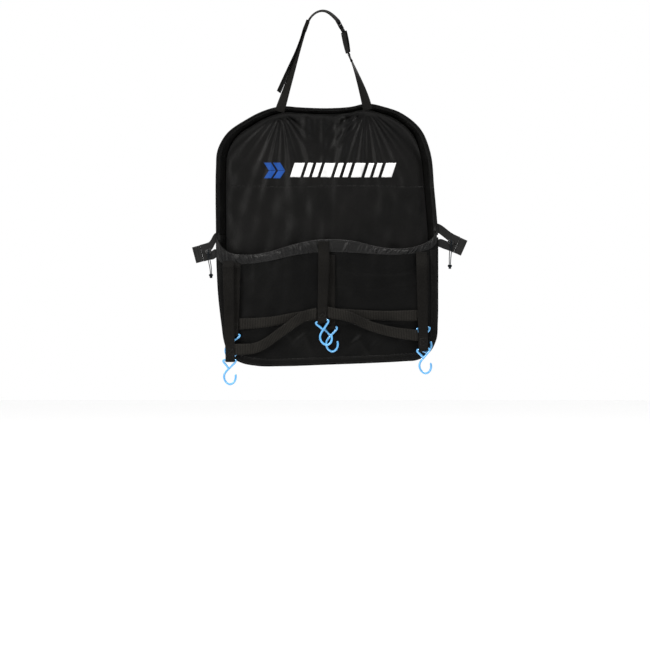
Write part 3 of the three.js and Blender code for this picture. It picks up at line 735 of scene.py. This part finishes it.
def sheet_disc(name, flat, y, thickness):
    """Closed sheet over the two halves of a disc, welded along the fold; y is its middle surface."""
    points = at_y(flat, y)
    uv = np.stack([flat[..., 1], flat[..., 0]], axis=2).reshape(-1, 2)
    rows, columns, _ = points.shape
    front, back = points.reshape(-1, 3).copy(), points.reshape(-1, 3).copy()
    front[:, 1] -= thickness / 2
    back[:, 1] += thickness / 2
    n = rows * columns
    faces = []
    for half in (0, 1):
        first = half * HALF_STEPS * columns
        faces += grid_faces(HALF_STEPS, columns, first) + grid_faces(HALF_STEPS, columns, first + n)
        for r in range(HALF_STEPS - 1):
            a, b = first + r * columns, first + (r + 1) * columns
            faces.append([a, b, b + n, a + n])
    made = link(name, np.vstack([front, back]), faces, np.vstack([uv, uv]))
    work = bmesh.new()
    work.from_mesh(made.data)
    bmesh.ops.remove_doubles(work, verts=work.verts, dist=0.00001)
    bmesh.ops.recalc_face_normals(work, faces=work.faces)
    work.to_mesh(made.data)
    work.free()
    return made


STRAP_FEET = ((-118.0, -277.0), (124.5, -268.0))
# folds from each foot: angle from straight down and half-width in degrees, height, reach in millimetres,
# curl in degrees per 100 mm
LEFT_FAN = (
    (-66, 5, 5, 150, 4), (-52, 4, 7, 210, 5), (-38, 4, 6, 190, 3), (-22, 3.5, 8, 240, 1), (-9, 3, 9, 260, -1),
    (3, 3, 6, 190, -2), (15, 3.5, 9, 250, -3), (27, 4, 7, 200, -4), (41, 4, 8, 210, -6), (56, 5, 6, 160, -8),
)
RIGHT_FAN = (
    (-64, 5, 6, 170, 8), (-49, 4, 8, 230, 6), (-35, 3.5, 7, 210, 4), (-22, 3.5, 9, 260, 3),
    (-10, 3, 7, 230, 2), (2, 3, 6, 200, 0), (13, 3, 8, 250, -1), (24, 3, 6, 230, -2), (35, 3, 8, 260, -3),
    (45, 3, 6, 230, -4),
    (54, 3, 7, 200, -5), (65, 4, 5, 160, -6),
)


def lining_relief(x, z):
    """Millimetres that the lining stands forward: gathers under the top seam, fans from the strap feet."""
    down = -276 - z
    depth = np.zeros_like(x)
    near_top = np.exp(-np.clip(down, 0, None) / 34.0)
    gather = ridge(x / 3.6 + 1.3 * np.sin(x / 19.0), 2.0) * 4.2 + ridge(x / 5.7 + 2.0, 2.5) * 4.0
    depth += gather * near_top * step(-118, -84, x) * (1 - step(96, 128, x))
    middle = step(-110, -60, x) * (1 - step(70, 130, x))
    bend = x - 10 + 0.12 * down * np.sin(x / 40.0)
    drape = ridge(bend / 9.5 + 0.6, 1.6) * 9.0 + ridge(bend / 16.0 + 2.4, 1.8) * 8.0
    depth += drape * middle * np.exp(-np.clip(down, 0, None) / 115.0)
    for (fx, fz), angles in ((STRAP_FEET[0], LEFT_FAN), (STRAP_FEET[1], RIGHT_FAN)):
        dx, dz = x - fx, fz - z
        far = np.hypot(dx, dz) + 1e-6
        angle = np.degrees(np.arctan2(dx, dz))
        for at, wide, size, reach, curl in angles:
            crest = np.exp(-((angle - at - curl * far / 100.0) / (1.35 * wide)) ** 2)
            depth += crest * size * np.exp(-(far / reach) ** 1.5) * step(2, 45, far)
    lower = step(60, 180, down)
    depth += 4.0 * wobble(x, z * 0.6, 250, 11) + 1.6 * wobble(x * 1.3, z, 90, 12) * lower
    return depth


flat = disc(1.5, 120)
x, z = flat[..., 0], flat[..., 1]
rim_gap = np.linalg.norm(flat - flat[:, :1], axis=2)
edge = step(-6, 26, rim_gap) * (1 - 0.55 * step(-640, -720, z))
header = 15.0 * np.exp(-rim_gap / 9.0) * step(-420, -330, z)
LINING_Y = 44.2
lining = sheet_disc("inner_lining", flat, LINING_Y - header - lining_relief(x, z) * edge, 1.0)
finish(lining, LINING, None, ["upper_lining"])
over_fold(lining)

flat = disc(0.0, 60, 1.0)
x, z = flat[..., 0], flat[..., 1]
puff = step(0, 40, np.linalg.norm(flat - flat[:, :1], axis=2))
y = 47.6 + (1.6 + 1.3 * wobble(x, z, 190, 21) + 0.5 * wobble(x, z, 60, 22)) * puff
y -= 1.5 * np.exp(-((z - FOLD_Z) / 3.0) ** 2)
cover = sheet_disc("back_cover", flat, y, 2.6)
finish(cover, SHELL, None, ["upper_back_panel", "lower_back_panel"])
over_fold(cover)

TAPE_FROM = 0.72  # share of the wall's depth, from the back, where the zip tape begins
WALL_SLANT = 48.0


def wall_y(share):
    return lerp(WALL_BACK_Y + 1, RIM_Y, share)


def wall_uv(run, share):
    """UVs of a wall strip: along the rim, then across it."""
    return np.stack(np.meshgrid(run, share * WALL_SLANT, indexing="ij"), axis=2)


closed_rim, closed_seam = (np.vstack([line, line[:1]]) for line in (rim_line, seam_line))
run = distances(rim_line)
run = np.append(run, run[-1] + 3)
out = unit(closed_rim - closed_seam)
fold = np.exp(-((closed_rim[:, 1] - FOLD_Z) / 16.0) ** 2)
crinkle = 0.9 * (np.sin(run / 17.0) + 0.6 * np.sin(run / 7.3 + 1) + 0.5 * np.sin(run / 41.0 + 2))
share = np.linspace(0.0, TAPE_FROM, 9)
grid = np.zeros((len(closed_rim), len(share), 3))
for k, a in enumerate(share):
    belly = math.sin(math.pi * min(a / TAPE_FROM, 1.0))
    p = lerp(closed_seam, closed_rim, a) + out * (belly * (crinkle - 1.2 - 2.0 * fold))[:, None]
    grid[:, k] = at_y(p, wall_y(a))
wall = cloth("side_wall", grid, 1.8, wall_uv(run, share))
finish(wall, SHELL, None, ["upper_wall", "lower_wall"])
over_fold(wall)

for half, keep in (("upper", rim_line[:, 1] > FOLD_Z + 1.5), ("lower", rim_line[:, 1] < FOLD_Z - 1.5)):
    body = f"{half}_half"
    rim, seam = rim_line[keep], seam_line[keep]
    gaps = np.linalg.norm(np.diff(rim, axis=0), axis=1)
    if gaps.max() > 40:
        first = int(np.argmax(gaps)) + 1
        rim, seam = np.roll(rim, -first, axis=0), np.roll(seam, -first, axis=0)
    run = distances(rim)
    wave = 0.175 * np.sin(run / 11.0) + 0.15 * np.sin(run / 29.0 + 1)
    share = np.linspace(TAPE_FROM + 0.01, 1.0, 5)
    grid = np.stack([at_y(lerp(seam, rim, a), wall_y(a) + wave) for a in share], axis=1)
    tape = cloth(f"{half}_tape", grid, 1.4, wall_uv(run, share))
    finish(tape, TAPE, body, [f"{half}_zip_tape"])
    # zip coil on the rim
    dense = spline(at_y(rim, RIM_Y + 0.2)[::4], 1500)
    outer = unit((dense - np.array([BAG_X, RIM_Y, FOLD_Z])) * (1, 0, 1))
    wiggle = np.sin(np.arange(1500) * 2 * math.pi / 3.0)[:, None]
    finish(rod(f"{half}_coil", dense + outer * 0.55 * wiggle, 1.1, 6), COIL, body)
    # piping beside the tape and along the back seam
    for n, (a, shift) in enumerate(((TAPE_FROM, -0.6), (0.02, 1.2))):
        line = at_y(lerp(seam, rim, a), wall_y(a) + shift)
        finish(rod(f"{half}_piping_{n}", spline(line[::6], 300), 1.7, 8), SHELL, body)
        if n == 0:
            inner = lerp(line, at_y(seam, line[:, 1]), 0.16)
            inner[:, 1] += 4.4
            stitches(f"{half}_wall_stitches", spline(inner[::6], 300), "shell_fabric", body, 3.4, 1.8, 0.4)

# ---- pocket front, gathered hem and its elastic
hem_top, hem_low = along_x(HEM_TOP), along_x(HEM_LOW)
foot_rim = along_x([p for p in LOWER_RIM if p[1] < -860])


def arched(s):
    return np.sin(math.pi * np.clip(s, 0.004, 0.996)) ** 0.7


def hem_y(s):
    return -2.6 - 7.4 * arched(s)


# short folds low on the pocket: X, Z, lean in radians, height
LOW_FOLDS = (
    (92, -925, 0.9, 4.2), (118, -938, -0.5, 3.2), (150, -930, 0.7, 3.0), (-60, -915, 0.8, 4.6),
    (-38, -930, -0.3, 3.2), (205, -940, 0.4, 2.6), (-95, -905, -0.7, 2.4), (40, -950, 0.2, 2.2),
    (240, -900, 0.9, 2.4), (170, -880, 1.1, 2.0),
)
columns, rows = 220, 130
s = np.linspace(0, 1, columns)[None]
t = np.linspace(0, 1, rows)[:, None]
top_x = lerp(HEM_TOP[0][0], HEM_TOP[-1][0], s)
foot_x = lerp(POCKET_FOOT[0], POCKET_FOOT[1], s)
z = lerp(hem_low(top_x) + 5, foot_rim(foot_x) + 4, t)
x = lerp(top_x, foot_x, t)
y = -0.4 - (8 * (1 - 0.7 * t) + 1) * arched(s)
edge = step(0, 0.06, s) * step(0, 0.06, 1 - s) * step(0, 0.05, 1 - t)
sag = 1.7 * wobble(x * 0.6, z, 150, 31) + 0.8 * wobble(x, z, 64, 32)
under_hem = (ridge(x / 7.5 + np.sin(x / 31.0), 2.0) * 2.2 + ridge(x / 12.3 + 1, 2.0) * 1.4) * np.exp(-t * 11)
swags = 0
for drop, size, bow in ((0.14, 1.3, 0.05), (0.27, 1.0, 0.06), (0.60, 0.8, 0.04)):
    centre = drop + bow * np.cos((s - 0.72) * 5.0)
    swags = swags + size * np.exp(-((t - centre) / 0.022) ** 2) * step(0.45, 0.62, s) * step(0, 0.12, 1 - s)
low_folds = 0
for cx, cz, lean, size in LOW_FOLDS:
    ux, uz = math.sin(lean), math.cos(lean)
    a = (x - cx) * uz - (z - cz) * ux
    b = (x - cx) * ux + (z - cz) * uz
    low_folds = low_folds + size * np.exp(-(a / 7.5) ** 2 - (b / 30.0) ** 2)
y = y - (sag + under_hem + swags + low_folds * 0.65) * edge
pocket_points = np.stack([x + 0 * y, y, z + 0 * y], axis=2)
pocket = cloth("pocket_cloth", pocket_points, 1.1, np.stack([z + 0 * x, x + 0 * z], axis=2))
finish(pocket, POCKET, "lower_half", ["pocket_front"])


def pocket_at(px, pz):
    """Point just in front of the pocket cloth at X and Z."""
    top = hem_low(px) + 5
    share = np.clip((pz - top) / (foot_rim(px) + 4 - top), 0, 1)
    left, right = (lerp(HEM_TOP[end][0], POCKET_FOOT[end], share) for end in (0, -1))
    last_row, last_column = pocket_points.shape[0] - 1, pocket_points.shape[1] - 1
    i = np.clip(share * last_row, 0, last_row).astype(int)
    j = np.clip((px - left) / (right - left) * last_column, 0, last_column).astype(int)
    return np.stack([px, pocket_points[i, j, 1] - 0.8, pz], axis=1)


foot_loop = np.array([p for p in LOWER_RIM if p[1] < -690], float)
foot_loop = spline([(-297, -700)] + [tuple(p) for p in foot_loop[1:-1]] + [(321, -668)], 300)
toward = unit(np.stack([-np.gradient(foot_loop[:, 1]), np.gradient(foot_loop[:, 0])], axis=1))
rails = []
for n, inset in enumerate((19.0, 4.0)):
    rail = foot_loop + toward * inset
    line = pocket_at(rail[:, 0], rail[:, 1])
    if n == 1:
        line[:, 1] = -1.2
    line[:, 1] = np.convolve(np.pad(line[:, 1], 4, mode="edge"), np.ones(9) / 9, mode="valid")
    rails.append(line)
    finish(rod(f"pocket_foot_piping_{n}", line, 1.7 - 0.4 * n, 8), SHELL, "lower_half")
bind = np.stack([lerp(rails[0], rails[1], a) + np.array((0, -0.5 - 1.2 * math.sin(math.pi * a), 0))
                 for a in np.linspace(0, 1, 6)], axis=1)
uv = np.stack(np.meshgrid(np.linspace(0, 1500, 300), np.linspace(0, 15, 6), indexing="ij"), axis=2)
band = cloth("pocket_foot_binding", bind, 1.0, uv)
finish(band, TAPE, "lower_half")
stitch_line = lerp(rails[0], rails[1], 0.2) + np.array((0, -1.6, 0))
stitches("pocket_foot_stitches", stitch_line, "shell_fabric", "lower_half", 3.2, 1.8, 0.4)

# hem: folded band with slanting gathers, a top edge roll and two stitch lines
columns, rows = 640, 30
s = np.linspace(0, 1, columns)[:, None]
a = np.linspace(0, 1, rows)[None]
x = lerp(HEM_TOP[0][0], HEM_TOP[-1][0], s) + 0 * a
r = 2.0
top, low = hem_top(x) - r, hem_low(x)
layer = 0.42
up_front = np.clip(a / layer, 0, 1)
down_back = np.clip((a - 1 + layer) / layer, 0, 1)
turn = np.clip((a - layer) / (1 - 2 * layer), 0, 1) * math.pi
z = np.where(a >= 1 - layer, lerp(top, low + 2, down_back), top + r * np.sin(turn))
z = np.where(a <= layer, lerp(low, top, up_front), z)
y = np.where(a >= 1 - layer, hem_y(s) + r, hem_y(s) - r * np.cos(turn))
y = np.where(a <= layer, hem_y(s) - r, y)
height = np.clip((z - low) / np.maximum(top - low, 1), 0, 1)
gathers = np.zeros_like(x + z)
creases = np.random.default_rng(44)
for _ in range(150):
    at, wide, size = creases.uniform(-292, 316), creases.uniform(1.5, 3.4), creases.uniform(0.8, 3.0)
    lean = creases.uniform(6, 26) * (1.0 if at < 40 else -1.0)
    middle, tall = creases.uniform(0.25, 0.75), creases.uniform(0.22, 0.6)
    aside = (x - at + lean * (height - 0.5)) / wide
    gathers += size * np.exp(-aside ** 2 - ((height - middle) / tall) ** 4)
gathers = np.minimum(gathers, 4.2) * np.sin(math.pi * np.clip(height * 0.9 + 0.05, 0, 1)) ** 0.6
gathers += 0.8 * wobble(x, 0 * x, 60, 41) * np.sin(math.pi * np.clip(height, 0, 1))
band_line = 0.9 * np.exp(-((height - 0.86) / 0.05) ** 2)
facing = np.where(a <= layer, -1.0, 0.25)
y = y + facing * (gathers - band_line * 0.8)
ends = step(0, 0.02, s) * step(0, 0.02, 1 - s)
y = lerp(hem_y(s) + 0 * y, y, 0.3 + 0.7 * ends)
hem = cloth("pocket_hem_band", np.stack([x, y, z], axis=2), 1.0, np.stack([x, z], axis=2))
finish(hem, HEM, "lower_half", ["pocket_hem"])
s1 = np.linspace(0.01, 0.99, 400)
hx = lerp(HEM_TOP[0][0], HEM_TOP[-1][0], s1)
for n, (hz, lift) in enumerate(((hem_top(hx) - 5.0, 3.0), (hem_low(hx) + 2.5, 2.9))):
    line = np.stack([hx, hem_y(s1) - lift, hz], axis=1)
    stitches(f"hem_stitches_{n}", line, "shell_fabric", "lower_half", 3.2, 1.9, 0.42)
line = np.stack([hx, hem_y(s1), hem_top(hx) - 12], axis=1)
elastic = web("hem_elastic_band", line[::4], [(0, 0, 1)] * len(line[::4]), 13.0, 1.2)
finish(elastic, ELASTIC, "lower_half", ["hem_elastic"])

# ---- ladders and hooks
BOX_HALF = 9.5


def box_stitch(name, middle, slope):
    """Square of stitches with both diagonals."""
    mx, my, mz = middle
    parts = []
    for corners in (((-1, -1), (1, -1), (1, 1), (-1, 1), (-1, -1), (1, 1)), ((-1, 1), (1, -1))):
        path = [(mx + u * BOX_HALF, my, mz + (v + u * slope) * BOX_HALF) for u, v in corners]
        parts.append(dashes(name, path, 2.6, 1.2, 0.45))
    return finish(merged(name, parts), THREAD, "ladders")


for name, yy, top, hook_x, hook_z, tilt, (from_y, from_z) in HANGERS:
    slope = math.tan(math.radians(tilt))
    share = np.linspace(0, 1, 12)
    lead = list(zip(lerp(from_y, yy, step(0, 1, share)), lerp(from_z, ANCHOR_END_Z, share)))
    turns = np.linspace(0.9 * math.pi, 2.1 * math.pi, 18)
    rises = (LOOP_RETURN, 18, LOOP_LEAVE + 2)
    path = lead + [(yy, zz) for zz in np.linspace(LADDER_TOP_Z, hook_z + LOOP_RETURN + 8, 26)]
    path += [(yy - LOOP_LAYER, hook_z + rise) for rise in rises]
    path += [(yy + LOOP_R * math.cos(q), hook_z + LOOP_R * math.sin(q)) for q in turns]
    path += [(yy + LOOP_LAYER, hook_z + rise) for rise in rises[::-1]]
    path = spline(path, 120)
    share = np.clip((path[:, 1] - LADDER_TOP_Z) / (hook_z - LADDER_TOP_Z), 0, 1)
    bow = 0.7 * np.sin(share * 9 + top) * (share > 0) * (share < 0.85)
    line = np.stack([lerp(top, hook_x, share), path[:, 0] + bow, path[:, 1]], axis=1)
    across = np.stack([np.ones(len(line)), np.zeros(len(line)), slope * share], axis=1)
    taper = lerp(WEB_TOP_WIDTH, WEB_END_WIDTH, share)
    if name == "front_left":
        line[:, 0] += 2.0 * share
    strap = web(f"{name}_webbing", line, across, taper, WEB_THICK)
    finish(strap, WEB, None, [f"{name}_strap", f"{name}_anchor"])
    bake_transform(strap)
    face_y = yy - LOOP_LAYER - WEB_THICK / 2 - 0.1
    box_stitch(f"{name}_box_stitch", (hook_x + 0.5, face_y, hook_z + 21), slope)

    angle = math.radians(tilt)
    c, n = math.cos(angle), math.sin(angle)
    wire = [(hook_x + px * c - pz * n, yy, hook_z + px * n + pz * c) for px, pz in HOOK_WIRE]
    hook = rod(f"{name}_wire_hook", spline(wire, 150), WIRE_R, 16)
    finish(hook, WIRE, f"{name}_hook", [f"{name}_hook"])

for name, (yy, path) in CROSS.items():
    line = spline(path, 90)
    run = np.linspace(0, 1, 90)
    sway = 1.0 * np.sin(run * 7 + len(name)) * np.sin(math.pi * run)
    slope = np.gradient(line[:, 1], line[:, 0])
    lean = 0.55 * slope * np.sin(math.pi * run) ** 0.5
    points = at_y(line, yy + sway)
    across = np.stack([-lean, 0.16 * np.sin(run * 6 + 1) * np.sin(math.pi * run), np.ones(90)], axis=1)
    narrow = CROSS_WIDTH + 1 - 4.0 * np.sin(math.pi * run) ** 2
    strap = web(f"{name}_webbing", points, across, narrow, WEB_THICK)
    finish(strap, CROSS_WEB, "ladders", [name])

# ---- hanging strap and its hardware
def ribbon(name, points, count, width, thickness, shown, behind=0.0):
    """Strap along [X, Z] points; shown is the share of its width that faces front."""
    line = spline(points, count)
    s = np.linspace(0, 1, count)
    along = unit(np.gradient(line, axis=0))
    face = np.clip(shown(s), 0.04, 1.0)
    across = np.stack([-along[:, 1] * face, np.sqrt(1 - face ** 2), along[:, 0] * face], axis=1)
    depth = behind * np.sin(math.pi * np.clip(s, 0, 1)) ** 0.6
    return web(name, at_y(line, depth), across, width, thickness)


STRAP_LINE = [
    (-120.5, -281), (-116.5, -268), (-93, -194), (-68, -112), (-52.4, -64), (-47.2, -49), (-41.6, -33),
    (-38, -24.4), (-27, -10.4), (-13.6, -1.6), (0, 1.2), (13.4, -1.8), (27.6, -11.4), (35.4, -18.8),
    (41.4, -25.1),
]
TAIL_LINE = [(-46.4, -36.8), (-52.3, -51), (-57, -67), (-71.5, -108), (-95, -162), (-123, -226)]
RIGHT_LINE = [(81.6, -139.5), (83.2, -143.4), (100, -187), (122.4, -258), (126.4, -276)]
widths = lerp(28.0, 25.0, step(0, 0.3, np.linspace(0, 1, 200)))
main = ribbon("hang_strap_webbing", STRAP_LINE, 200, widths, 2.3,
              lambda s: lerp(1.0, 0.30, np.clip(s / 0.62, 0, 1)) + 0.20 * step(0.7, 1.0, s))
finish(main, WEB, "upper_half", ["hang_strap"])
tail = ribbon("strap_tail_webbing", TAIL_LINE, 90, 24.0, 2.0, lambda s: 0.2 + 0.22 * step(0.2, 1, s), 5.0)
finish(tail, WEB, "upper_half", ["strap_tail"])
right = ribbon("strap_right_webbing", RIGHT_LINE, 80, 26.0, 2.2,
               lambda s: lerp(0.14, 1.0, step(-0.25, 0.98, s)))
finish(right, WEB, "upper_half", ["strap_right"])
for n, (fx, fz) in enumerate(((-119.0, -273.5), (125.6, -271.0))):
    foot_line = [(fx - 11, -1.5, fz), (fx + 11, -1.5, fz)]
    finish(dashes(f"strap_foot_stitch_{n}", foot_line, 2.6, 1.4, 0.35), COIL, "upper_half")

KEEPER_AT, KEEPER_TURN = (-45.6, -40.6), 19.3
keeper = moulded("keeper_sleeve", 29, 30.5, 9.0, KEEPER_AT, KEEPER_TURN, bevel=1.6,
                 cuts=[(40, 26.5, 6.0, 0, 0)])
finish(keeper, WEB, "upper_half", ["strap_keeper"])

BUCKLE_AT, BUCKLE_TURN, TWIST = (47.6, -36.5), -28, -7.0
female = moulded("buckle_socket", 24, 32, 11.5, BUCKLE_AT, BUCKLE_TURN, bevel=1.4, twist=TWIST,
                 cuts=[(21, 24, 5.4, 2.6, 0), (9, 6, 14, 1.5, 13.2), (9, 6, 14, 1.5, -13.2),
                       (4, 22, 14, -9.0, 0)])
finish(female, PLASTIC, "upper_half", ["buckle_female"])
base = moulded("buckle_base", 11, 27, 10, BUCKLE_AT, BUCKLE_TURN, down=18.1, bevel=1.3, twist=TWIST,
               cuts=[(4.5, 22, 12, 19.5, 0)])
spine = moulded("buckle_spine", 16.5, 5, 4.0, BUCKLE_AT, BUCKLE_TURN, down=5.4, bevel=0.6, twist=TWIST)
prongs = [moulded("buckle_prong", 15.5, 4.6, 3.8, BUCKLE_AT, BUCKLE_TURN, down=6.0, across=spot, twist=TWIST)
          for spot in (-9.2, 9.2)]
male = merged("buckle_plug", [base, spine] + prongs)
finish(male, PLASTIC, "buckle_male", ["buckle_male"])

# doubled strap under the buckle: two layers that close on the tri-glide
DOUBLED = [(59.4, -57.4), (62.5, -71), (67.5, -95), (71.6, -116)]
layers = []
for k, side in enumerate((-1, 1)):
    line = spline(DOUBLED, 60)
    run = np.linspace(0, 1, 60)
    along = unit(np.gradient(line, axis=0))
    apart = side * (1.25 + 1.4 * np.sin(math.pi * run) * (0.6 if side < 0 else 1.0))
    line = line + np.stack([along[:, 1], -along[:, 0]], axis=1) * apart[:, None]
    turned = lerp(0.62, 0.4, run)
    across = np.stack([along[:, 1] * turned, np.ones(60), -along[:, 0] * turned], axis=1)
    layers.append(web(f"doubled_{k}", at_y(line, 0), across, 25, 2.0))
doubled = merged("doubled_webbing", layers)
finish(doubled, WEB, None, ["strap_doubled"])
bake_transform(doubled)

GLIDE_AT, GLIDE_TURN = (77.6, -131.4), -24
glide = moulded("tri_glide", 20, 33, 3.2, GLIDE_AT, GLIDE_TURN, bevel=0.9, twist=-9.0,
                cuts=[(5.6, 26, 12, 4.2, 0), (5.6, 26, 12, -4.2, 0)])
finish(glide, PLASTIC, "upper_half", ["strap_glide"])
loop = []
for k, (first, last) in enumerate((((71.4, -115.5), (76.6, -127.6)), ((79.3, -135.2), (82.2, -141.5)))):
    line = spline([first, last], 12)
    swell = 2.4 * np.sin(np.linspace(0, math.pi, 12))
    for side in (-1, 1):
        points = np.stack([line[:, 0] + side * swell, 0 * swell, line[:, 1]], axis=1)
        loop.append(web(f"glide_loop_{k}_{side}", points, [(0, 1, 0)] * 12, 24.5, 1.8))
finish(merged("glide_loops", loop), WEB, "upper_half")


# seam across the lining, sewn through it
seam_x = np.linspace(-262, 288, 300)
seam_z = -486 + 1.5 * np.sin(seam_x / 60.0)
seam_path = np.stack([seam_x, LINING_Y - lining_relief(seam_x, seam_z) - 0.5, seam_z], axis=1)
finish(rod("lining_cross_seam", seam_path, 0.8, 6), LINING, "upper_half")
stitch_line = seam_path + np.array((0, -0.5, -3.2))
stitches("lining_cross_stitches", stitch_line, "lining", "upper_half", 3.0, 2.0, 0.35)


# ---- plain print on the lining
PRINT_STEPS = 14


def print_shape(name, outline, look):
    """A flat printed shape that follows the lining's relief."""
    s = np.linspace(0, 1, PRINT_STEPS)[None, :, None]
    t = np.linspace(0, 1, PRINT_STEPS)[:, None, None]
    a, b, c, d = np.array(outline, float)
    flat = lerp(lerp(a, b, s), lerp(d, c, s), t)
    px, pz = flat[..., 0], flat[..., 1]
    py = LINING_Y - lining_relief(px, pz) - 1.0
    piece = cloth(name, np.stack([px, py, pz], axis=2), 0.3, np.stack([px, pz], axis=2))
    return finish(piece, look, "upper_half")


CHEVRON_WIDTH, CHEVRON_REACH = 20, 14
for n, left in enumerate((-166.0, -140.0)):
    for name, end_z, tip_z in (("print_mark", -420, -442), ("print_mark_low", -464, -443)):
        tip = left + CHEVRON_REACH
        corners = [(left, end_z), (left + CHEVRON_WIDTH, end_z), (tip + CHEVRON_WIDTH, tip_z), (tip, tip_z)]
        print_shape(f"{name}_{n}", corners if end_z > tip_z else corners[::-1], PRINT_BLUE)
BAR_TOP, BAR_LOW, BAR_LEAN, BAR_GAP, BARS_END = -421, -461, 13.0, 9, 170
left = -92.0
n = 0
while left < BARS_END:
    width = 15 if n % 3 else 29
    right = left + width
    bar = [(left + BAR_LEAN, BAR_TOP), (right + BAR_LEAN, BAR_TOP), (right, BAR_LOW), (left, BAR_LOW)]
    print_shape(f"print_bar_{n}", bar, PRINT_WHITE)
    left = right + BAR_GAP
    n += 1
